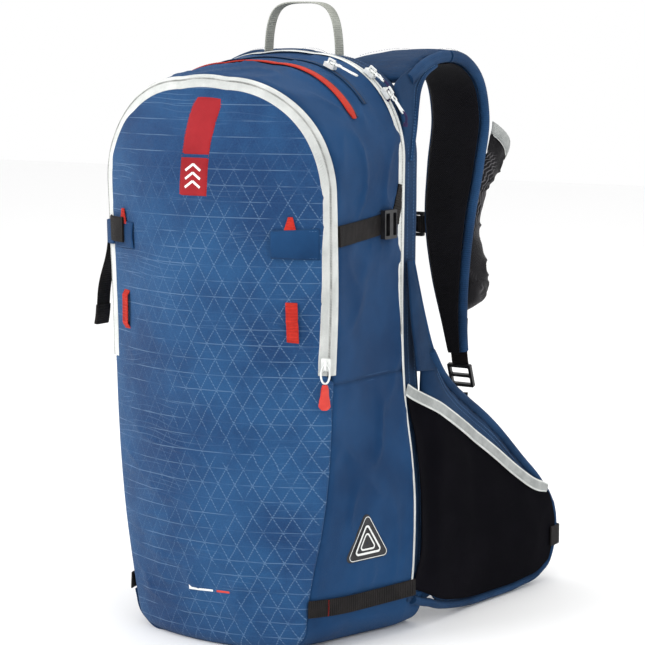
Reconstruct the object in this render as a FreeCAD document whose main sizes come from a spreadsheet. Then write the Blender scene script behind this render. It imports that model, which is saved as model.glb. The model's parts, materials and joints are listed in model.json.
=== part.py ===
import FreeCAD, Part
import math
import os

import Sketcher
from FreeCAD import Matrix, Placement, Rotation, Vector

# Ski touring backpack, standing on its base.  Millimetres, +Z up, -Y towards the front
# panel, +Y towards the harness, +X to the side of the flask pocket, which is the wearer's
# right.  All shapes are drawn with the main zip's plane at y = 0, then moved by back_plane.

doc = FreeCAD.newDocument("SkiBackpack")

# ---------------------------------------------------------------- driving dimensions
SIZES = [
    ("back_plane", -60), ("pack_depth", 190),
    ("back_top", 576), ("front_top", 549.5), ("crown", 2.5),
    ("back_corner", 100), ("front_corner", 112), ("foot_corner", 28),
    ("back_shoulder", 131), ("front_shoulder", 136),
    ("fabric", 3), ("seam_gap", 0.2), ("foot_drop", 1),
    ("base_top", 30), ("side_top", 264),
    ("fold_low", 262), ("fold_high", 290), ("hinge_y", -152),
    ("zip_outer", 4), ("zip_inner", 10),
    ("panel_depth", 30), ("pad_thick", 8),
    ("strap_thick", 12), ("strap_outer", 115), ("strap_end_y", 105),
    ("wing_thick", 13), ("wing_x", 137), ("wing_hinge_y", 107), ("wing_flare", 5),
    ("webbing", 20), ("webbing_thick", 1.6), ("belt_webbing", 30),
    ("loop_span", 82), ("loop_height", 50), ("loop_y", 21), ("loop_axis", 575),
    ("slider_length", 12), ("slider_width", 9), ("slider_thick", 4),
    ("bridge_height", 4.6), ("bridge_bar", 1.5), ("bridge_width", 2.4), ("bridge_length", 8),
    ("pull_thick", 1.3), ("pull_width", 7), ("eye_bar", 1.3),
    ("lock_width", 28), ("lock_height", 26), ("lock_thick", 4),
    ("stripe_thick", 0.8),
]

# Half-width of the pack at its back and front planes, by height.
OUTLINE_HEIGHTS = [28, 58, 128, 178, 243, 343]
BACK_HALF_WIDTHS = [138, 145, 147, 143, 134, 130]
FRONT_HALF_WIDTHS = [86, 90, 107, 117, 126.5, 134]

# Front face: depth of its centre line and how much it falls back to the sides, by height.
FACE_HEIGHTS = [-20, 48, 138, 238, 338, 418, 478, 518, 548, 590]
FACE_CENTRE = [-150, -158, -166, -170, -171, -170, -166, -158, -150, -136]
FACE_FALL = [2.5, 2.4, 2.6, 2.64, 2.64, 2.4, 2.1, 2.0, 1.8, 1.6]

sheet = doc.addObject("Spreadsheet::Sheet", "Sizes")


def fill_sheet():
    rows = list(SIZES)
    for i, values in enumerate(zip(OUTLINE_HEIGHTS, BACK_HALF_WIDTHS, FRONT_HALF_WIDTHS)):
        for word, value in zip(("outline_height_", "back_half_", "front_half_"), values):
            rows.append((word + "abcdefg"[i], value))
    for row, (alias, value) in enumerate(rows, start=1):
        sheet.set("A%d" % row, alias)
        sheet.set("B%d" % row, str(value))
        sheet.setAlias("B%d" % row, alias)
    doc.recompute()


fill_sheet()


def size(alias):
    return float(sheet.get(alias))


FABRIC = size("fabric")
GAP = size("seam_gap")
DEPTH = size("pack_depth")
nodes = []


# ---------------------------------------------------------------- shared helpers
def add(node, placement=None):
    """Put a finished sub-part into the pack's frame and remember it for the export."""
    node.Placement = Placement(Vector(0, size("back_plane"), 0), Rotation()) * (placement or Placement())
    nodes.append(node)
    return node


def soft(label, *shapes):
    """A sub-part whose shape is lofted or trimmed fabric, foam or webbing."""
    solids = [solid for shape in shapes for solid in shape.Solids]
    node = doc.addObject("Part::Feature", label)
    node.Label = label
    node.Shape = Part.makeCompound(solids)
    return add(node)


def box(x0, x1, y0, y1, z0, z1):
    return Part.makeBox(x1 - x0, y1 - y0, z1 - z0, Vector(x0, y0, z0))


def slab(z0, z1):
    return box(-400, 400, -400, 400, z0, z1)


def mirrored(shape):
    return shape.mirror(Vector(0, 0, 0), Vector(1, 0, 0))


def spline(points):
    curve = Part.BSplineCurve()
    curve.interpolate([Vector(*p) for p in points])
    return curve.toShape()


def polygon(points):
    return Part.makePolygon([Vector(*p) for p in points] + [Vector(*points[0])])


def extruded(wire, direction):
    return Part.Face(wire).extrude(Vector(*direction))


def lerp(a, b, share):
    return a + (b - a) * share


def interpolate(value, stations, values):
    for low, high, a, b in zip(stations, stations[1:], values, values[1:]):
        if value <= high:
            return lerp(a, b, (value - low) / (high - low))
    return values[-1]


def axes_placement(origin, along, outward):
    """Placement whose local X runs along, and whose local Z points outward."""
    x = Vector(*along).normalize()
    z = Vector(*outward)
    z = (z - x * z.dot(x)).normalize()
    y = z.cross(x)
    o = Vector(*origin)
    return Placement(Matrix(x.x, y.x, z.x, o.x, x.y, y.y, z.y, o.y, x.z, y.z, z.z, o.z, 0, 0, 0, 1))


# ---------------------------------------------------------------- pack envelope
def outline_sizes(y):
    """Half-widths, top, corner radius and shoulder half-width of the pack's section at y."""
    share = max(0.0, -y / DEPTH)
    half_widths = [lerp(b, f, share) for b, f in zip(BACK_HALF_WIDTHS, FRONT_HALF_WIDTHS)]
    top = lerp(size("back_top"), size("front_top"), share)
    corner = lerp(size("back_corner"), size("front_corner"), share)
    shoulder = lerp(size("back_shoulder"), size("front_shoulder"), share)
    return half_widths, top, corner, shoulder


def outline(y, inset=0.0):
    """Closed arch-shaped section of the pack at y: flat foot, belly, round shoulders.

    The foot reaches foot_drop below the ground, where the panels are cut flat.
    """
    half_widths, top, corner, shoulder = outline_sizes(y)
    foot = size("foot_corner")
    base_z = inset - size("foot_drop")
    crown_z = top - size("crown") - inset
    corner -= inset
    shoulder -= inset
    shoulder_z = crown_z - corner
    heights = [foot] + OUTLINE_HEIGHTS[1:] + [shoulder_z]
    widths = [w - inset for w in half_widths] + [shoulder]
    diagonal = corner * math.sqrt(0.5)
    foot_r = foot - inset
    foot_x = widths[0] - foot_r
    foot_diagonal = foot_r * math.sqrt(0.5)

    def half(side):
        foot_arc = Part.Arc(Vector(side * foot_x, y, base_z),
                            Vector(side * (foot_x + foot_diagonal), y, foot - foot_diagonal),
                            Vector(side * widths[0], y, foot)).toShape()
        side_edge = spline([(side * w, y, z) for w, z in zip(widths, heights)])
        shoulder_arc = Part.Arc(Vector(side * shoulder, y, shoulder_z),
                                Vector(side * (shoulder - corner + diagonal), y, shoulder_z + diagonal),
                                Vector(side * (shoulder - corner), y, crown_z)).toShape()
        return [foot_arc, side_edge, shoulder_arc]

    right = half(1)
    left = half(-1)
    crown_x = shoulder - corner
    crown = Part.Arc(Vector(crown_x, y, crown_z), Vector(0, y, top - inset),
                     Vector(-crown_x, y, crown_z)).toShape()
    base = Part.LineSegment(Vector(-foot_x, y, base_z), Vector(foot_x, y, base_z)).toShape()
    return Part.Wire([base] + right + [crown] + left[::-1])


def envelope(y0, y1, inset=0.0):
    return Part.makeLoft([outline(y0, inset), outline(y1, inset)], True, True)


def face_y(x, z):
    """Depth of the front face at a point of its height and width."""
    return interpolate(z, FACE_HEIGHTS, FACE_CENTRE) + interpolate(z, FACE_HEIGHTS, FACE_FALL) * x * x / 1000


def behind_face(shift):
    """Everything behind the front face, the face moved back by shift."""
    reach = 170
    sections = []
    for z in FACE_HEIGHTS:
        centre = face_y(0, z) + shift
        edge = face_y(reach, z) + shift
        curve = Part.BezierCurve()
        curve.setPoles([Vector(-reach, edge, z), Vector(0, 2 * centre - edge, z), Vector(reach, edge, z)])
        rest = Part.makePolygon([Vector(reach, edge, z), Vector(reach, 60, z),
                                 Vector(-reach, 60, z), Vector(-reach, edge, z)])
        sections.append(Part.Wire([curve.toShape()] + rest.Edges))
    return Part.makeLoft(sections, True, False)


def band(y0, y1, gap, proud):
    """A strip that lies on the envelope between two depths."""
    return envelope(y0, y1, -proud).cut(envelope(y0 - 1, y1 + 1, -gap))


# ---------------------------------------------------------------- fabric shell
outer = envelope(-215, -GAP)
hollow = envelope(-216, 1, FABRIC)
front_face = outer.common(behind_face(0)).cut(behind_face(FABRIC))
wall = outer.common(behind_face(FABRIC + GAP)).cut(hollow)

BASE = size("base_top")
SIDE = size("side_top")
FOLD_LOW = size("fold_low")
FOLD_HIGH = size("fold_high")
inside_tape = envelope(-215, -60, size("zip_outer"))
inside_zip = envelope(-215, -60, size("zip_inner"))


def build_shell():
    soft("bottom_panel", wall.common(slab(0, BASE - GAP)))
    lower = wall.common(slab(BASE, SIDE - GAP))
    soft("side_panel_right", lower.common(box(0, 300, -300, 300, 0, SIDE)))
    soft("side_panel_left", lower.common(box(-300, 0, -300, 300, 0, SIDE)))
    soft("gusset_band", wall.common(slab(SIDE, 700)))
    soft("front_lower_panel", front_face.common(slab(0, FOLD_LOW - GAP)))
    tapes = front_face.common(slab(FOLD_LOW, 700))
    soft("front_zip_pack_tape", tapes.cut(inside_tape))
    flap = tapes.common(envelope(-215, -60, size("zip_outer") + 2 * GAP))
    soft("flap_fold_panel", flap.common(slab(FOLD_LOW, FOLD_HIGH - GAP)))
    upper = flap.common(slab(FOLD_HIGH, 700))
    soft("front_zip_flap_tape", upper.cut(inside_zip))
    soft("front_flap", upper.common(envelope(-215, -60, size("zip_inner") + GAP)))


def build_back():
    depth = size("panel_depth")
    soft("back_panel", envelope(GAP, depth, FABRIC).common(slab(8, 700)))
    pads = []
    for low, high, half_width in ((60, 250, 108), (300, 500, 92)):
        pad = box(-half_width, half_width, depth + GAP, depth + size("pad_thick"), low, high)
        pads.append(pad.makeFillet(30, [e for e in pad.Edges if abs(e.tangentAt(0).y) > 0.9]))
    soft("back_pads", *pads)
    soft("frame_sheet", box(-105, 105, -8, -6, 60, 500))
    divider_front = size("hinge_y") + 77
    soft("tool_divider", box(-104, 104, divider_front, divider_front + 2, 12, 430))
    sleeves = []
    for centre, half_width, top in ((-55, 32, 360), (50, 40, 380)):
        sleeve = box(centre - half_width, centre + half_width, divider_front - 26, divider_front - GAP, 40, top)
        space = box(centre - half_width + 2, centre + half_width - 2, divider_front - 24, divider_front - 2,
                    42, top + 1)
        sleeves.append(sleeve.cut(space))
    soft("tool_sleeves", *sleeves)


def build_zip_tapes():
    main = band(-11, 1, 0.3, 2.3)
    soft("main_zip", main.common(slab(SIDE, 700)))
    piping = band(-4, 0, 0.3, 2.6).common(slab(BASE, SIDE - GAP))
    soft("back_seam_piping", piping)
    arc = box(-92, 118, -300, 0, 460, 700)
    soft("top_pocket_zip", band(-76, -64, 0.3, 2.4).common(arc))
    soft("goggle_zip", band(-46, -38, 0.3, 2.0).common(box(-84, 112, -300, 0, 470, 700)))


# ---------------------------------------------------------------- trim on the front face
def on_face(corners, thick=None, gap=0.3):
    """A flat piece of cloth laid on the front face, from its corners (x, z)."""
    thick = thick or size("stripe_thick")
    layer = behind_face(-gap - thick).cut(behind_face(-gap))
    prism = extruded(polygon([(x, -300, z) for x, z in corners]), (0, 300, 0))
    return layer.common(prism).common(envelope(-215, -60, size("zip_inner") + 1))


def webbing_loop(x, z0, z1, width, thick, proud):
    """A flat loop whose foot and head are sewn down and whose middle stands clear."""
    face = min(face_y(x - width / 2, z) for z in (z0, z1)) - thick - 0.4
    outside = polygon([(x - width / 2, face, z0), (x - width / 2, face - proud, z0 + 6),
                       (x - width / 2, face - proud, z1 - 6), (x - width / 2, face, z1)])
    inside = polygon([(x - width / 2, face + thick, z0 + 4), (x - width / 2, face - proud + thick, z0 + 7),
                      (x - width / 2, face - proud + thick, z1 - 7), (x - width / 2, face + thick, z1 - 4)])
    loop = extruded(outside, (width, 0, 0)).cut(extruded(inside, (width, 0, 0)))
    return loop


def build_front_trim():
    soft("centre_stripe", on_face([(-16, 479.8), (18, 479.8), (23, 517), (31, 560), (-4, 560), (-13, 517)]))
    soft("badge_patch", on_face([(-17, 441), (17, 441), (17, 479.5), (-17, 479.5)]))
    tab = on_face([(81, 384), (120, 383), (120, 413), (81, 411)], 1.2)
    soft("side_tabs", tab, mirrored(tab))
    upper = webbing_loop(98, 413.5, 428, 11, 1.0, 3)
    lower = webbing_loop(98, 306, 343, 12, 1.6, 4)
    soft("ski_loops", upper, mirrored(upper), lower, mirrored(lower))


# ---------------------------------------------------------------- PartDesign hardware
def new_body(label):
    body = doc.addObject("PartDesign::Body", label)
    body.Label = label
    return body


def new_sketch(body, role, name, offset=0.0):
    sketch = body.newObject("Sketcher::SketchObject", name)
    plane = next(f for f in body.Origin.OriginFeatures if f.Role == role)
    sketch.AttachmentSupport = [(plane, "")]
    sketch.MapMode = "FlatFace"
    sketch.AttachmentOffset = Placement(Vector(0, 0, offset), Rotation())
    return sketch


def rectangle(sketch, left, low, width, height):
    """Rectangle whose corner and sides are expressions of the sheet's cells."""
    x, y, w, h = (float(sketch.evalExpression(e)) for e in (left, low, width, height))
    corners = [Vector(x, y, 0), Vector(x + w, y, 0), Vector(x + w, y + h, 0), Vector(x, y + h, 0)]
    first = sketch.GeometryCount
    for a, b in zip(corners, corners[1:] + corners[:1]):
        sketch.addGeometry(Part.LineSegment(a, b), False)
    for i in range(4):
        sketch.addConstraint(Sketcher.Constraint("Coincident", first + i, 2, first + (i + 1) % 4, 1))
    for i in (0, 2):
        sketch.addConstraint(Sketcher.Constraint("Horizontal", first + i))
        sketch.addConstraint(Sketcher.Constraint("Vertical", first + i + 1))
    bound = (("DistanceX", (-1, 1, first, 1), x, left), ("DistanceY", (-1, 1, first, 1), y, low),
             ("DistanceX", (first, 1, first, 2), w, width),
             ("DistanceY", (first + 1, 1, first + 1, 2), h, height))
    for kind, points, value, expression in bound:
        index = sketch.addConstraint(Sketcher.Constraint(kind, *points, value))
        sketch.setExpression("Constraints[%d]" % index, expression)


def pad(body, sketch, length, midplane=False):
    feature = body.newObject("PartDesign::Pad", "Pad")
    feature.Profile = sketch
    feature.setExpression("Length", length)
    feature.Midplane = midplane
    sketch.Visibility = False
    return feature


def fillet_all(body, feature, radius):
    doc.recompute()
    edges = ["Edge%d" % (i + 1) for i, e in enumerate(feature.Shape.Edges)
             if isinstance(e.Curve, Part.Line) and abs(e.tangentAt(e.FirstParameter).z) > 0.9]
    rounding = body.newObject("PartDesign::Fillet", "Fillet")
    rounding.Base = (feature, edges)
    rounding.Radius = radius


def frame_plate(label, width, height, slots, thickness, placement):
    """Moulded frame: an outer plate with webbing slots, given as (low edge, height) expressions."""
    body = new_body(label)
    sketch = new_sketch(body, "XY_Plane", label + "_outline")
    rectangle(sketch, "-(%s)/2" % width, "-(%s)/2" % height, width, height)
    for low, opening in slots:
        rectangle(sketch, "-(%s)/2 + 3" % width, low, "%s - 6" % width, opening)
    plate = pad(body, sketch, thickness)
    fillet_all(body, plate, 1.2)
    body.Placement = placement
    return body


def slider(label, placement):
    """Zip slider: flat body with a bridge that stands over its middle."""
    body = new_body(label)
    sketch = new_sketch(body, "XY_Plane", label + "_body")
    rectangle(sketch, "-Sizes.slider_length/2", "-Sizes.slider_width/2", "Sizes.slider_length",
              "Sizes.slider_width")
    base = pad(body, sketch, "Sizes.slider_thick")
    fillet_all(body, base, 1.5)
    half_bridge = "Sizes.bridge_length/2"
    side = new_sketch(body, "XZ_Plane", label + "_bridge")
    reach = "Sizes.bridge_height + 0.5"
    rectangle(side, "-" + half_bridge, "Sizes.slider_thick - 0.5", "Sizes.bridge_bar", reach)
    pad(body, side, "Sizes.bridge_width", True)
    far = new_sketch(body, "XZ_Plane", label + "_far_post")
    rectangle(far, half_bridge + " - Sizes.bridge_bar", "Sizes.slider_thick - 0.5", "Sizes.bridge_bar", reach)
    pad(body, far, "Sizes.bridge_width", True)
    top = new_sketch(body, "XZ_Plane", label + "_bar")
    rectangle(top, "-" + half_bridge, "Sizes.slider_thick + Sizes.bridge_height - Sizes.bridge_bar",
              "Sizes.bridge_length", "Sizes.bridge_bar")
    pad(body, top, "Sizes.bridge_width", True)
    return add(body, placement)


EYE_HEIGHT = 5.0      # lower face of a pull's eye bar above the slider's foot


def pull(label, length, placement):
    """Zip pull: an eye bar under the slider's bridge, two arms and a tab behind them."""
    body = new_body(label)
    sketch = new_sketch(body, "XY_Plane", label + "_tab", EYE_HEIGHT)
    eye = "Sizes.bridge_length/2 - 4 - Sizes.eye_bar/2"
    rectangle(sketch, "%s - %g" % (eye, length), "-Sizes.pull_width/2", "%g + Sizes.eye_bar" % length,
              "Sizes.pull_width")
    rectangle(sketch, "%s - 8" % eye, "-Sizes.pull_width/2 + 1.3", "8", "Sizes.pull_width - 2.6")
    pad(body, sketch, "Sizes.pull_thick")
    return add(body, placement)


def zip_corner(y):
    """Centre height, centre offset and radius of the envelope's shoulder arc at y."""
    _, top, corner, shoulder = outline_sizes(y)
    return shoulder - corner, top - size("crown") - corner, corner


def slider_place(y, angle, lift):
    """Slider on a zip over the right shoulder, angle degrees from the top of the arc."""
    x, z, radius = zip_corner(y)
    turn = math.radians(angle)
    outward = (math.sin(turn), 0, math.cos(turn))
    along = (-math.cos(turn), 0, math.sin(turn))
    reach = radius + lift
    return axes_placement((x + reach * outward[0], y, z + reach * outward[2]), along, outward)


def front_slider_place(z, lift):
    """Slider on the right leg of the front zip."""
    x = side_x(-126, z) - 5
    y = face_y(x, z)
    outward = Vector(0.45, -0.89, 0).normalize()
    return axes_placement((x + outward.x * lift, y + outward.y * lift, z), (0.03, 0, 1), tuple(outward))


def build_sliders():
    place = front_slider_place(285, 1.6)
    slider("front_slider", place)
    pull("front_pull", 17, place)
    grip = new_body("front_pull_grip")
    sketch = new_sketch(grip, "XY_Plane", "front_grip_outline", EYE_HEIGHT - 1.3)
    rectangle(sketch, "-44", "-5", "26", "10")
    fillet_all(grip, pad(grip, sketch, "Sizes.slider_thick"), 3)
    add(grip, place)
    places = (("goggle_slider", "goggle_pull", 32, slider_place(-42, 24, 2.8)),
              ("main_slider_upper", "main_pull_upper", 18, slider_place(-5, 38, 3.2)),
              ("main_slider_lower", "main_pull_lower", 27, slider_place(-5, 53, 3.2)))
    for slider_name, pull_name, length, place in places:
        slider(slider_name, place)
        pull(pull_name, length, place)


def side_x(y, z):
    """Half-width of the envelope at a depth and height on its straight flank."""
    half_widths, _, _, _ = outline_sizes(y)
    return interpolate(z, OUTLINE_HEIGHTS, half_widths)


def flank_strip(y0, y1, z0, z1, thick, gap):
    """Webbing laid along the pack's side; z0 and z1 are its centre heights at y0 and y1."""
    half = size("webbing") / 2
    layer = envelope(y0, y1, -gap - thick).cut(envelope(y0 - 1, y1 + 1, -gap))
    shape = polygon([(0, y0, z0 - half), (0, y1, z1 - half), (0, y1, z1 + half), (0, y0, z0 + half)])
    return layer.common(extruded(shape, (400, 0, 0)))


def build_side_straps():
    strap = flank_strip(-119, -49, 406, 410, 1.6, 0.3)
    soft("compression_straps", strap, mirrored(strap))
    anchor_shape = polygon([(0, -11.3, 452), (0, -11.3, 424), (0, -24, 400), (0, -26, 424), (0, -16, 450)])
    layer = envelope(-27, -11, -2.4).cut(envelope(-28, -10, -0.4))
    anchor = layer.common(extruded(anchor_shape, (400, 0, 0)))
    soft("compression_anchors", anchor, mirrored(anchor))
    slots = [("-10", "6"), ("2", "7")]
    for label, side in (("compression_buckle_right", 1), ("compression_buckle_left", -1)):
        place = axes_placement((side * 134.5, -36, 411), (0, 0, side), (side, 0, 0))
        plate = frame_plate(label, "Sizes.lock_width", "Sizes.lock_height - 4", slots,
                            "Sizes.lock_thick + 1", place)
        add(plate, place)
    tail = box(-1, 1, -10, 10, -78, 0).fuse(box(-3.5, 3.5, -11, 11, -96, -78))
    tail.Placement = Placement(Vector(-140, -112, 392), Rotation(Vector(0, 1, 0), 12))
    soft("strap_tail_left", tail)
    low = flank_strip(-128, -6, 44, 44, 1.6, 0.3)
    soft("lower_side_straps", low, mirrored(low))
    build_rubber_patch()


def build_rubber_patch():
    body = new_body("rubber_patch")
    sketch = new_sketch(body, "XY_Plane", "patch_outline")
    corners = [Vector(-21, -23, 0), Vector(21, 0, 0), Vector(-21, 23, 0)]
    for i in range(3):
        sketch.addGeometry(Part.LineSegment(corners[i], corners[(i + 1) % 3]), False)
    for i in range(3):
        sketch.addConstraint(Sketcher.Constraint("Coincident", i, 2, (i + 1) % 3, 1))
        sketch.addConstraint(Sketcher.Constraint("Block", i))
    fillet_all(body, pad(body, sketch, "Sizes.webbing_thick"), 4)
    lean = (side_x(-50, 103) - side_x(-80, 103)) / 30
    x = side_x(-66, 103) + 1.5
    add(body, axes_placement((x, -66, 103), (0.02, 0, 1), (1, -lean, 0)))


# ---------------------------------------------------------------- harness
# Centre line of the yoke and shoulder straps in the YZ plane, from the back panel down.
STRAP_LINE = [(31, 548), (62, 562), (108, 571), (150, 566), (180, 546), (193, 508),
              (181, 455), (165, 405), (155, 345), (155, 290), (160, 258)]
# Inner edge of a shoulder strap, by height.
STRAP_EDGE_HEIGHTS = [258, 290, 340, 400, 440, 620]
STRAP_INNER = [95, 90, 77, 63, 57, 54]


def offset_line(line, offset):
    """Points of a line in the YZ plane moved sideways by offset."""
    points = []
    for i, (y, z) in enumerate(line):
        before = line[max(i - 1, 0)]
        after = line[min(i + 1, len(line) - 1)]
        dy, dz = after[0] - before[0], after[1] - before[1]
        length = math.hypot(dy, dz)
        points.append((0, y - offset * dz / length, z + offset * dy / length))
    return points


def ribbon(line, thick, x0, width):
    """A band of even thickness along a line in the YZ plane."""
    near = offset_line(line, thick / 2)
    far = offset_line(line, -thick / 2)
    profile = Part.Wire([spline(near), Part.makeLine(Vector(*near[-1]), Vector(*far[-1])),
                         spline(far), Part.makeLine(Vector(*far[0]), Vector(*near[0]))])
    band_shape = extruded(profile, (width, 0, 0))
    band_shape.translate(Vector(x0, 0, 0))
    return band_shape


def strap_face(z):
    """Depth of the shoulder strap's outer face at a height on its hanging part."""
    hanging = STRAP_LINE[5:][::-1]
    centre = interpolate(z, [p[1] for p in hanging], [p[0] for p in hanging])
    return centre + size("strap_thick") / 2 + 0.6


def build_straps():
    harness = ribbon(STRAP_LINE, size("strap_thick"), -150, 300)
    end_y = size("strap_end_y")
    width = size("strap_outer")
    start_y = size("panel_depth") + GAP
    plan = polygon([(-width - 3, start_y, 500), (width + 3, start_y, 500), (width, end_y, 500), (52, end_y, 500),
                    (22, 62, 500), (-22, 62, 500), (-52, end_y, 500), (-width, end_y, 500)])
    soft("shoulder_yoke", harness.common(extruded(plan, (0, 0, 120))))
    inner = [(x, 0, z) for x, z in zip(STRAP_INNER, STRAP_EDGE_HEIGHTS)]
    edges = [spline(inner), Part.makeLine(Vector(STRAP_INNER[-1], 0, 620), Vector(width, 0, 620)),
             Part.makeLine(Vector(width, 0, 620), Vector(width - 3, 0, 258)),
             Part.makeLine(Vector(width - 3, 0, 258), Vector(*inner[0]))]
    front_view = extruded(Part.Wire(edges), (0, 300, 0))
    strap = harness.common(front_view).common(box(0, 200, end_y + 0.4, 300, 200, 700))
    soft("shoulder_strap_right", strap)
    soft("shoulder_strap_left", mirrored(strap))


# Mesh flask pocket: a round bag cut off by the strap's face; its radius by height.
POCKET_HEIGHTS = [303, 311, 327, 348, 385, 427, 443, 477, 510]
POCKET_RADII = [17, 27, 32, 31, 24, 26, 29, 36, 38]
POCKET_X = 88
POCKET_SINK = 10      # how far the round bag's back lies inside the strap's face
POCKET_SEAMS = [290, 325, 392, 446, 560]


POCKET_THICK = 1.6


def pocket_loft(inset, back=0.0):
    """The bag's space; its flat side lies on the strap's face, or back behind it."""
    sections = []
    for z, radius in zip(POCKET_HEIGHTS, POCKET_RADII):
        if z in (POCKET_HEIGHTS[0], POCKET_HEIGHTS[-1]):
            z += inset
        y = strap_face(min(z, 500))
        half_chord = math.sqrt(2 * POCKET_SINK * radius - POCKET_SINK ** 2) - inset
        left = Vector(POCKET_X - half_chord, y - back, z)
        right = Vector(POCKET_X + half_chord, y - back, z)
        tip = Vector(POCKET_X, y + 2 * radius - POCKET_SINK - inset, z)
        sections.append(Part.Wire([Part.Arc(left, tip, right).toShape(), Part.makeLine(right, left)]))
    return Part.makeLoft(sections, True, False)


def build_flask_pocket():
    mouth = [(0, 150, 545), (0, 350, 380), (0, 350, 700), (0, 150, 700)]
    lip = extruded(polygon(mouth), (300, 0, 0))
    hem_zone = extruded(polygon([(x, y, z - 12) for x, y, z in mouth]), (300, 0, 0))
    strap = ribbon(STRAP_LINE, size("strap_thick") + 1, 0, 300)
    shell = pocket_loft(0).cut(pocket_loft(POCKET_THICK, 4)).cut(lip).cut(strap)
    panels = [shell.cut(hem_zone).common(slab(low, high))
              for low, high in zip(POCKET_SEAMS, POCKET_SEAMS[1:])]
    soft("flask_pocket", shell.common(hem_zone), *panels)


def build_sternum_strap():
    z = 393
    y = 163
    half = size("webbing") / 2
    place = axes_placement((47, y, z), (1, 0, 0), (0, 1, 0))
    clip = frame_plate("rail_clip", "Sizes.webbing", "Sizes.lock_height", [("-9.5", "8"), ("1.5", "8")],
                       "Sizes.lock_thick", place)
    doc.recompute()
    soft("sternum_clips", clip.Shape, mirrored(clip.Shape))
    soft("sternum_webbing_right", box(14.4, 46, y - 2.2, y - 0.6, z - half, z + half))
    soft("sternum_webbing_left", box(-46, -20.4, y - 2.2, y - 0.6, z - half, z + half))
    buckle_pair("sternum_buckle", 14, -20, y - 1.4, z, 24, 9)


def buckle_pair(label, female_end, male_end, y, z, height, thick):
    """Side-release buckle halves along X; the male prongs slide into the female's mouth."""
    mouth = -4
    female = new_body(label + "_female")
    sketch = new_sketch(female, "YZ_Plane", label + "_shell", mouth)
    rectangle(sketch, str(-thick / 2), str(-height / 2), str(thick), str(height))
    pad(female, sketch, str(female_end - mouth))
    cavity = new_sketch(female, "YZ_Plane", label + "_cavity", mouth)
    rectangle(cavity, str(-thick / 2 + 2), str(-height / 2 + 2), str(thick - 4), str(height - 4))
    pocket = female.newObject("PartDesign::Pocket", "Pocket")
    pocket.Profile = cavity
    pocket.Reversed = True
    pocket.Length = female_end - mouth - 3
    add(female, Placement(Vector(0, y, z), Rotation()))
    male = new_body(label + "_male")
    sketch = new_sketch(male, "YZ_Plane", label + "_base", male_end)
    rectangle(sketch, str(-thick / 2), str(-height / 2), str(thick), str(height))
    pad(male, sketch, str(mouth - 0.5 - male_end))
    prongs = new_sketch(male, "YZ_Plane", label + "_prongs", mouth - 1)
    for low in (-height / 2 + 3, -2, height / 2 - 6):
        rectangle(prongs, str(-thick / 2 + 3), str(low), str(thick - 6), "3")
    pad(male, prongs, "14")
    add(male, Placement(Vector(0, y, z), Rotation()))


# Centre line of the webbing from a ladder lock down to the hip wing's root.
WEBBING_LINE = [(160, 217), (146, 202), (124, 196), (100, 206)]


def build_ladder_locks():
    for label, side in (("ladder_lock_right", 1), ("ladder_lock_left", -1)):
        place = axes_placement((side * 104, 163, 234), (1, 0, 0), (0, 0.94, 0.34))
        plate = frame_plate(label, "Sizes.lock_width", "Sizes.lock_height", [("-9.5", "8"), ("1.5", "8")],
                            "Sizes.lock_thick", place)
        add(plate, place)
    width = size("webbing")
    webbing = ribbon(WEBBING_LINE, size("webbing_thick"), 104 - width / 2, width)
    webbing.rotate(Vector(104, 160, 0), Vector(0, 0, 1), 22)
    soft("strap_webbings", webbing, mirrored(webbing))


# Hip wing outlines in the YZ plane: the root on the pack and the moving wing.
WING_ROOT = [(31, 283), (48, 261), (76, 238), (104, 221), (104, 6), (49, 14), (31, 20)]
WING_TOP = [(110, 218), (146, 194), (205, 146), (246, 110), (266, 90), (275, 66), (275, 44)]
WING_FOOT = [(275, 44), (264, 20), (240, 6), (205, 3), (155, 3), (110, 5)]
POCKET_TOP = [(110, 190), (187, 135), (232, 106)]
POCKET_FOOT = [(232, 106), (246, 84), (250, 50), (235, 22), (200, 12), (110, 12)]


def plate_yz(top, foot, x0, thick):
    edges = [spline([(x0, y, z) for y, z in top]), spline([(x0, y, z) for y, z in foot]),
             Part.makeLine(Vector(x0, *foot[-1]), Vector(x0, *top[0]))]
    return extruded(Part.Wire(edges), (thick, 0, 0))


def flared(shape):
    """Turn a wing piece outward about its hinge line."""
    shape.rotate(Vector(size("wing_x") + size("wing_thick") / 2, size("wing_hinge_y"), 0), Vector(0, 0, 1),
                 -size("wing_flare"))
    return shape


def both_sides(label, *shapes):
    soft(label + "_right", *shapes)
    soft(label + "_left", *[mirrored(shape) for shape in shapes])


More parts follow.
